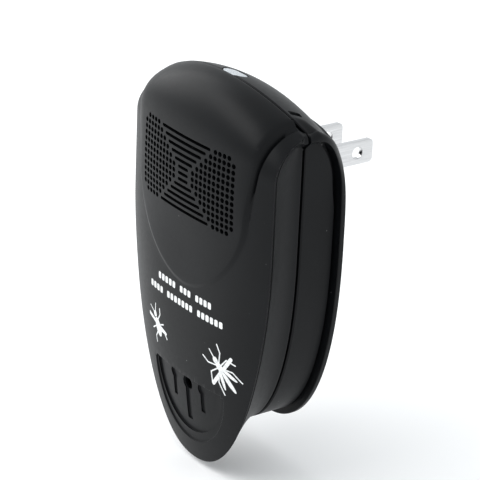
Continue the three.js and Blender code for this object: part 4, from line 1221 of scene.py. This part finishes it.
def frosted_lens():
    """Frosted clear plastic with a milky body."""
    nodes = mottled(
        "lens_frosted_clear", [(0.42, 0.45, 0.48), (0.52, 0.55, 0.58)],
        tone={"scale": 700, "detail": 3},
        gloss={"scale": 2500, "low": 0.22, "high": 0.34},
        grain={"scale": 3500, "strength": 0.1, "depth": 0.00003},
    )
    nodes.shader.inputs["Subsurface Weight"].default_value = 0.2
    nodes.shader.inputs["Subsurface Radius"].default_value = (0.002, 0.002, 0.002)
    return nodes.material


def white_ink():
    """Screen-printed ink: slightly thin in places, with a matt grain."""
    return mottled(
        "printed_white_ink", [(0.6, 0.62, 0.62), (0.85, 0.86, 0.86)],
        tone={"scale": 1500, "detail": 4},
        gloss={"scale": 3000, "low": 0.5, "high": 0.65},
        grain={"scale": 6000, "strength": 0.2, "depth": 0.00002},
        stops=(0.3, 0.6),
    ).material


NICKEL = (0.68, 0.68, 0.685)

# Looks of the slots that keep the record's colour: the material's name, then for metal its roughness,
# the stretch of its drawn lines and their scale, and for the rest roughness, scale and variation.
METAL_LOOKS = {
    "screw_metal": ("screw_zinc", 0.32, (1, 1, 1), 1500),
    "brass": ("piezo_brass", 0.3, (1, 1, 0.1), 1500),
    "copper": ("coil_winding_copper", 0.3, (0.1, 3, 0.1), 1800),
}
MOULDED_LOOKS = {
    "foam": ("gasket_foam", 0.9, 2500, 0.5),
    "cone": ("sounder_paper", 0.85, 1200, 0.3),
    "board": ("board_solder_mask", 0.35, 900, 0.2),
    "clamp": ("clamp_laminate", 0.6, 800, 0.35),
}


def slot_materials():
    """One material for each of the record's material slots."""
    colors = {m["slot"]: tuple(m["base_color"][:3]) for m in frame["record"]["materials"]}
    made = {
        "casing": casing_plastic(),
        "lens": frosted_lens(),
        "blade_metal": brushed("blade_nickel", NICKEL, 0.2, (1, 0.05, 1), 2500),
    }
    for kind, looks in ((brushed, METAL_LOOKS), (moulded, MOULDED_LOOKS)):
        for slot, (name, *look) in looks.items():
            made[slot] = kind(name, colors[slot], *look)
    for slot, color in colors.items():
        if slot not in made:
            made[slot] = moulded("part_" + slot, color)
    return made


# ---- Stage, lights and camera ----

CAMERA = {"azimuth": 53.59, "elevation": 23.28, "roll": 2.47, "distance": 0.63841, "lens": 187.5}
AIM = Vector((-1.73, -17.62, -21.07)) * MM
FLOOR = {"gap": 1.5, "reach": 3000.0, "points": 9}
WORLD = {"Color": (0.95, 0.98, 1.0, 1), "Strength": 0.95}
SOFTBOXES = {
    "left_softbox": {"place": (-0.85, -0.2, 0.5), "size": (0.8, 0.8), "power": 4.2},
    "front_softbox": {"place": (-0.25, -0.65, 0.75), "size": (0.8, 0.6), "power": 4.4},
}


def camera():
    azimuth = math.radians(CAMERA["azimuth"])
    elevation = math.radians(CAMERA["elevation"])
    roll = math.radians(CAMERA["roll"])
    back = Vector((
        math.sin(azimuth) * math.cos(elevation),
        -math.cos(azimuth) * math.cos(elevation),
        math.sin(elevation),
    ))
    level = Vector((math.cos(azimuth), math.sin(azimuth), 0))
    upright = back.cross(level)
    right = level * math.cos(roll) + upright * math.sin(roll)
    up = upright * math.cos(roll) - level * math.sin(roll)
    data = bpy.data.cameras.new("camera")
    data.lens = CAMERA["lens"]
    data.sensor_width = 36
    data.clip_start = 0.01
    data.clip_end = 20
    obj = bpy.data.objects.new("camera", data)
    turn = Matrix((right, up, back)).transposed().to_4x4()
    obj.matrix_world = Matrix.Translation(AIM + back * CAMERA["distance"]) @ turn
    bpy.context.scene.collection.objects.link(obj)
    bpy.context.scene.camera = obj


def plain_stage_material():
    nodes = Nodes("stage_white")
    nodes.base_color(nodes.noise(3, 2), (0.3, (0.94, 0.94, 0.94)), (0.7, (0.96, 0.96, 0.96)))
    nodes.shader.inputs["Roughness"].default_value = 0.8
    return nodes.material


def floor():
    """A plain pale floor under the object."""
    level = COVER_LOW.z - FLOOR["gap"]
    line = np.linspace(-FLOOR["reach"], FLOOR["reach"], FLOOR["points"])
    vertices = [(x, y, level) for y in line for x in line]
    plane = mesh_object("floor", vertices, grid(len(line), len(line))[1])
    plane.data.materials.append(plain_stage_material())


def softbox(name, place, size, power):
    data = bpy.data.lights.new(name, "AREA")
    data.shape = "RECTANGLE"
    data.size, data.size_y = size
    data.energy = power
    obj = bpy.data.objects.new(name, data)
    obj.location = place
    obj.rotation_euler = (AIM - Vector(place)).to_track_quat("-Z", "Y").to_euler()
    bpy.context.scene.collection.objects.link(obj)


def lights():
    world = bpy.data.worlds.new("studio")
    world.use_nodes = True
    background = world.node_tree.nodes["Background"]
    for name, value in WORLD.items():
        background.inputs[name].default_value = value
    bpy.context.scene.world = world
    bpy.context.scene.view_settings.view_transform = "Standard"
    for name, settings in SOFTBOXES.items():
        softbox(name, **settings)


# ---- The scene ----

materials = slot_materials()
for row in frame["record"]["subparts"]:
    node = frame["nodes"][row["node"]]
    node.data.materials.clear()
    node.data.materials.append(materials[row["material_slot"]])

front_cover(materials["casing"])
rear_housing(materials["casing"])
top_lens(materials["lens"])
blade("blade_left", materials["blade_metal"])
blade("blade_right", materials["blade_metal"])
printed_marks(white_ink())
floor()
camera()
lights()
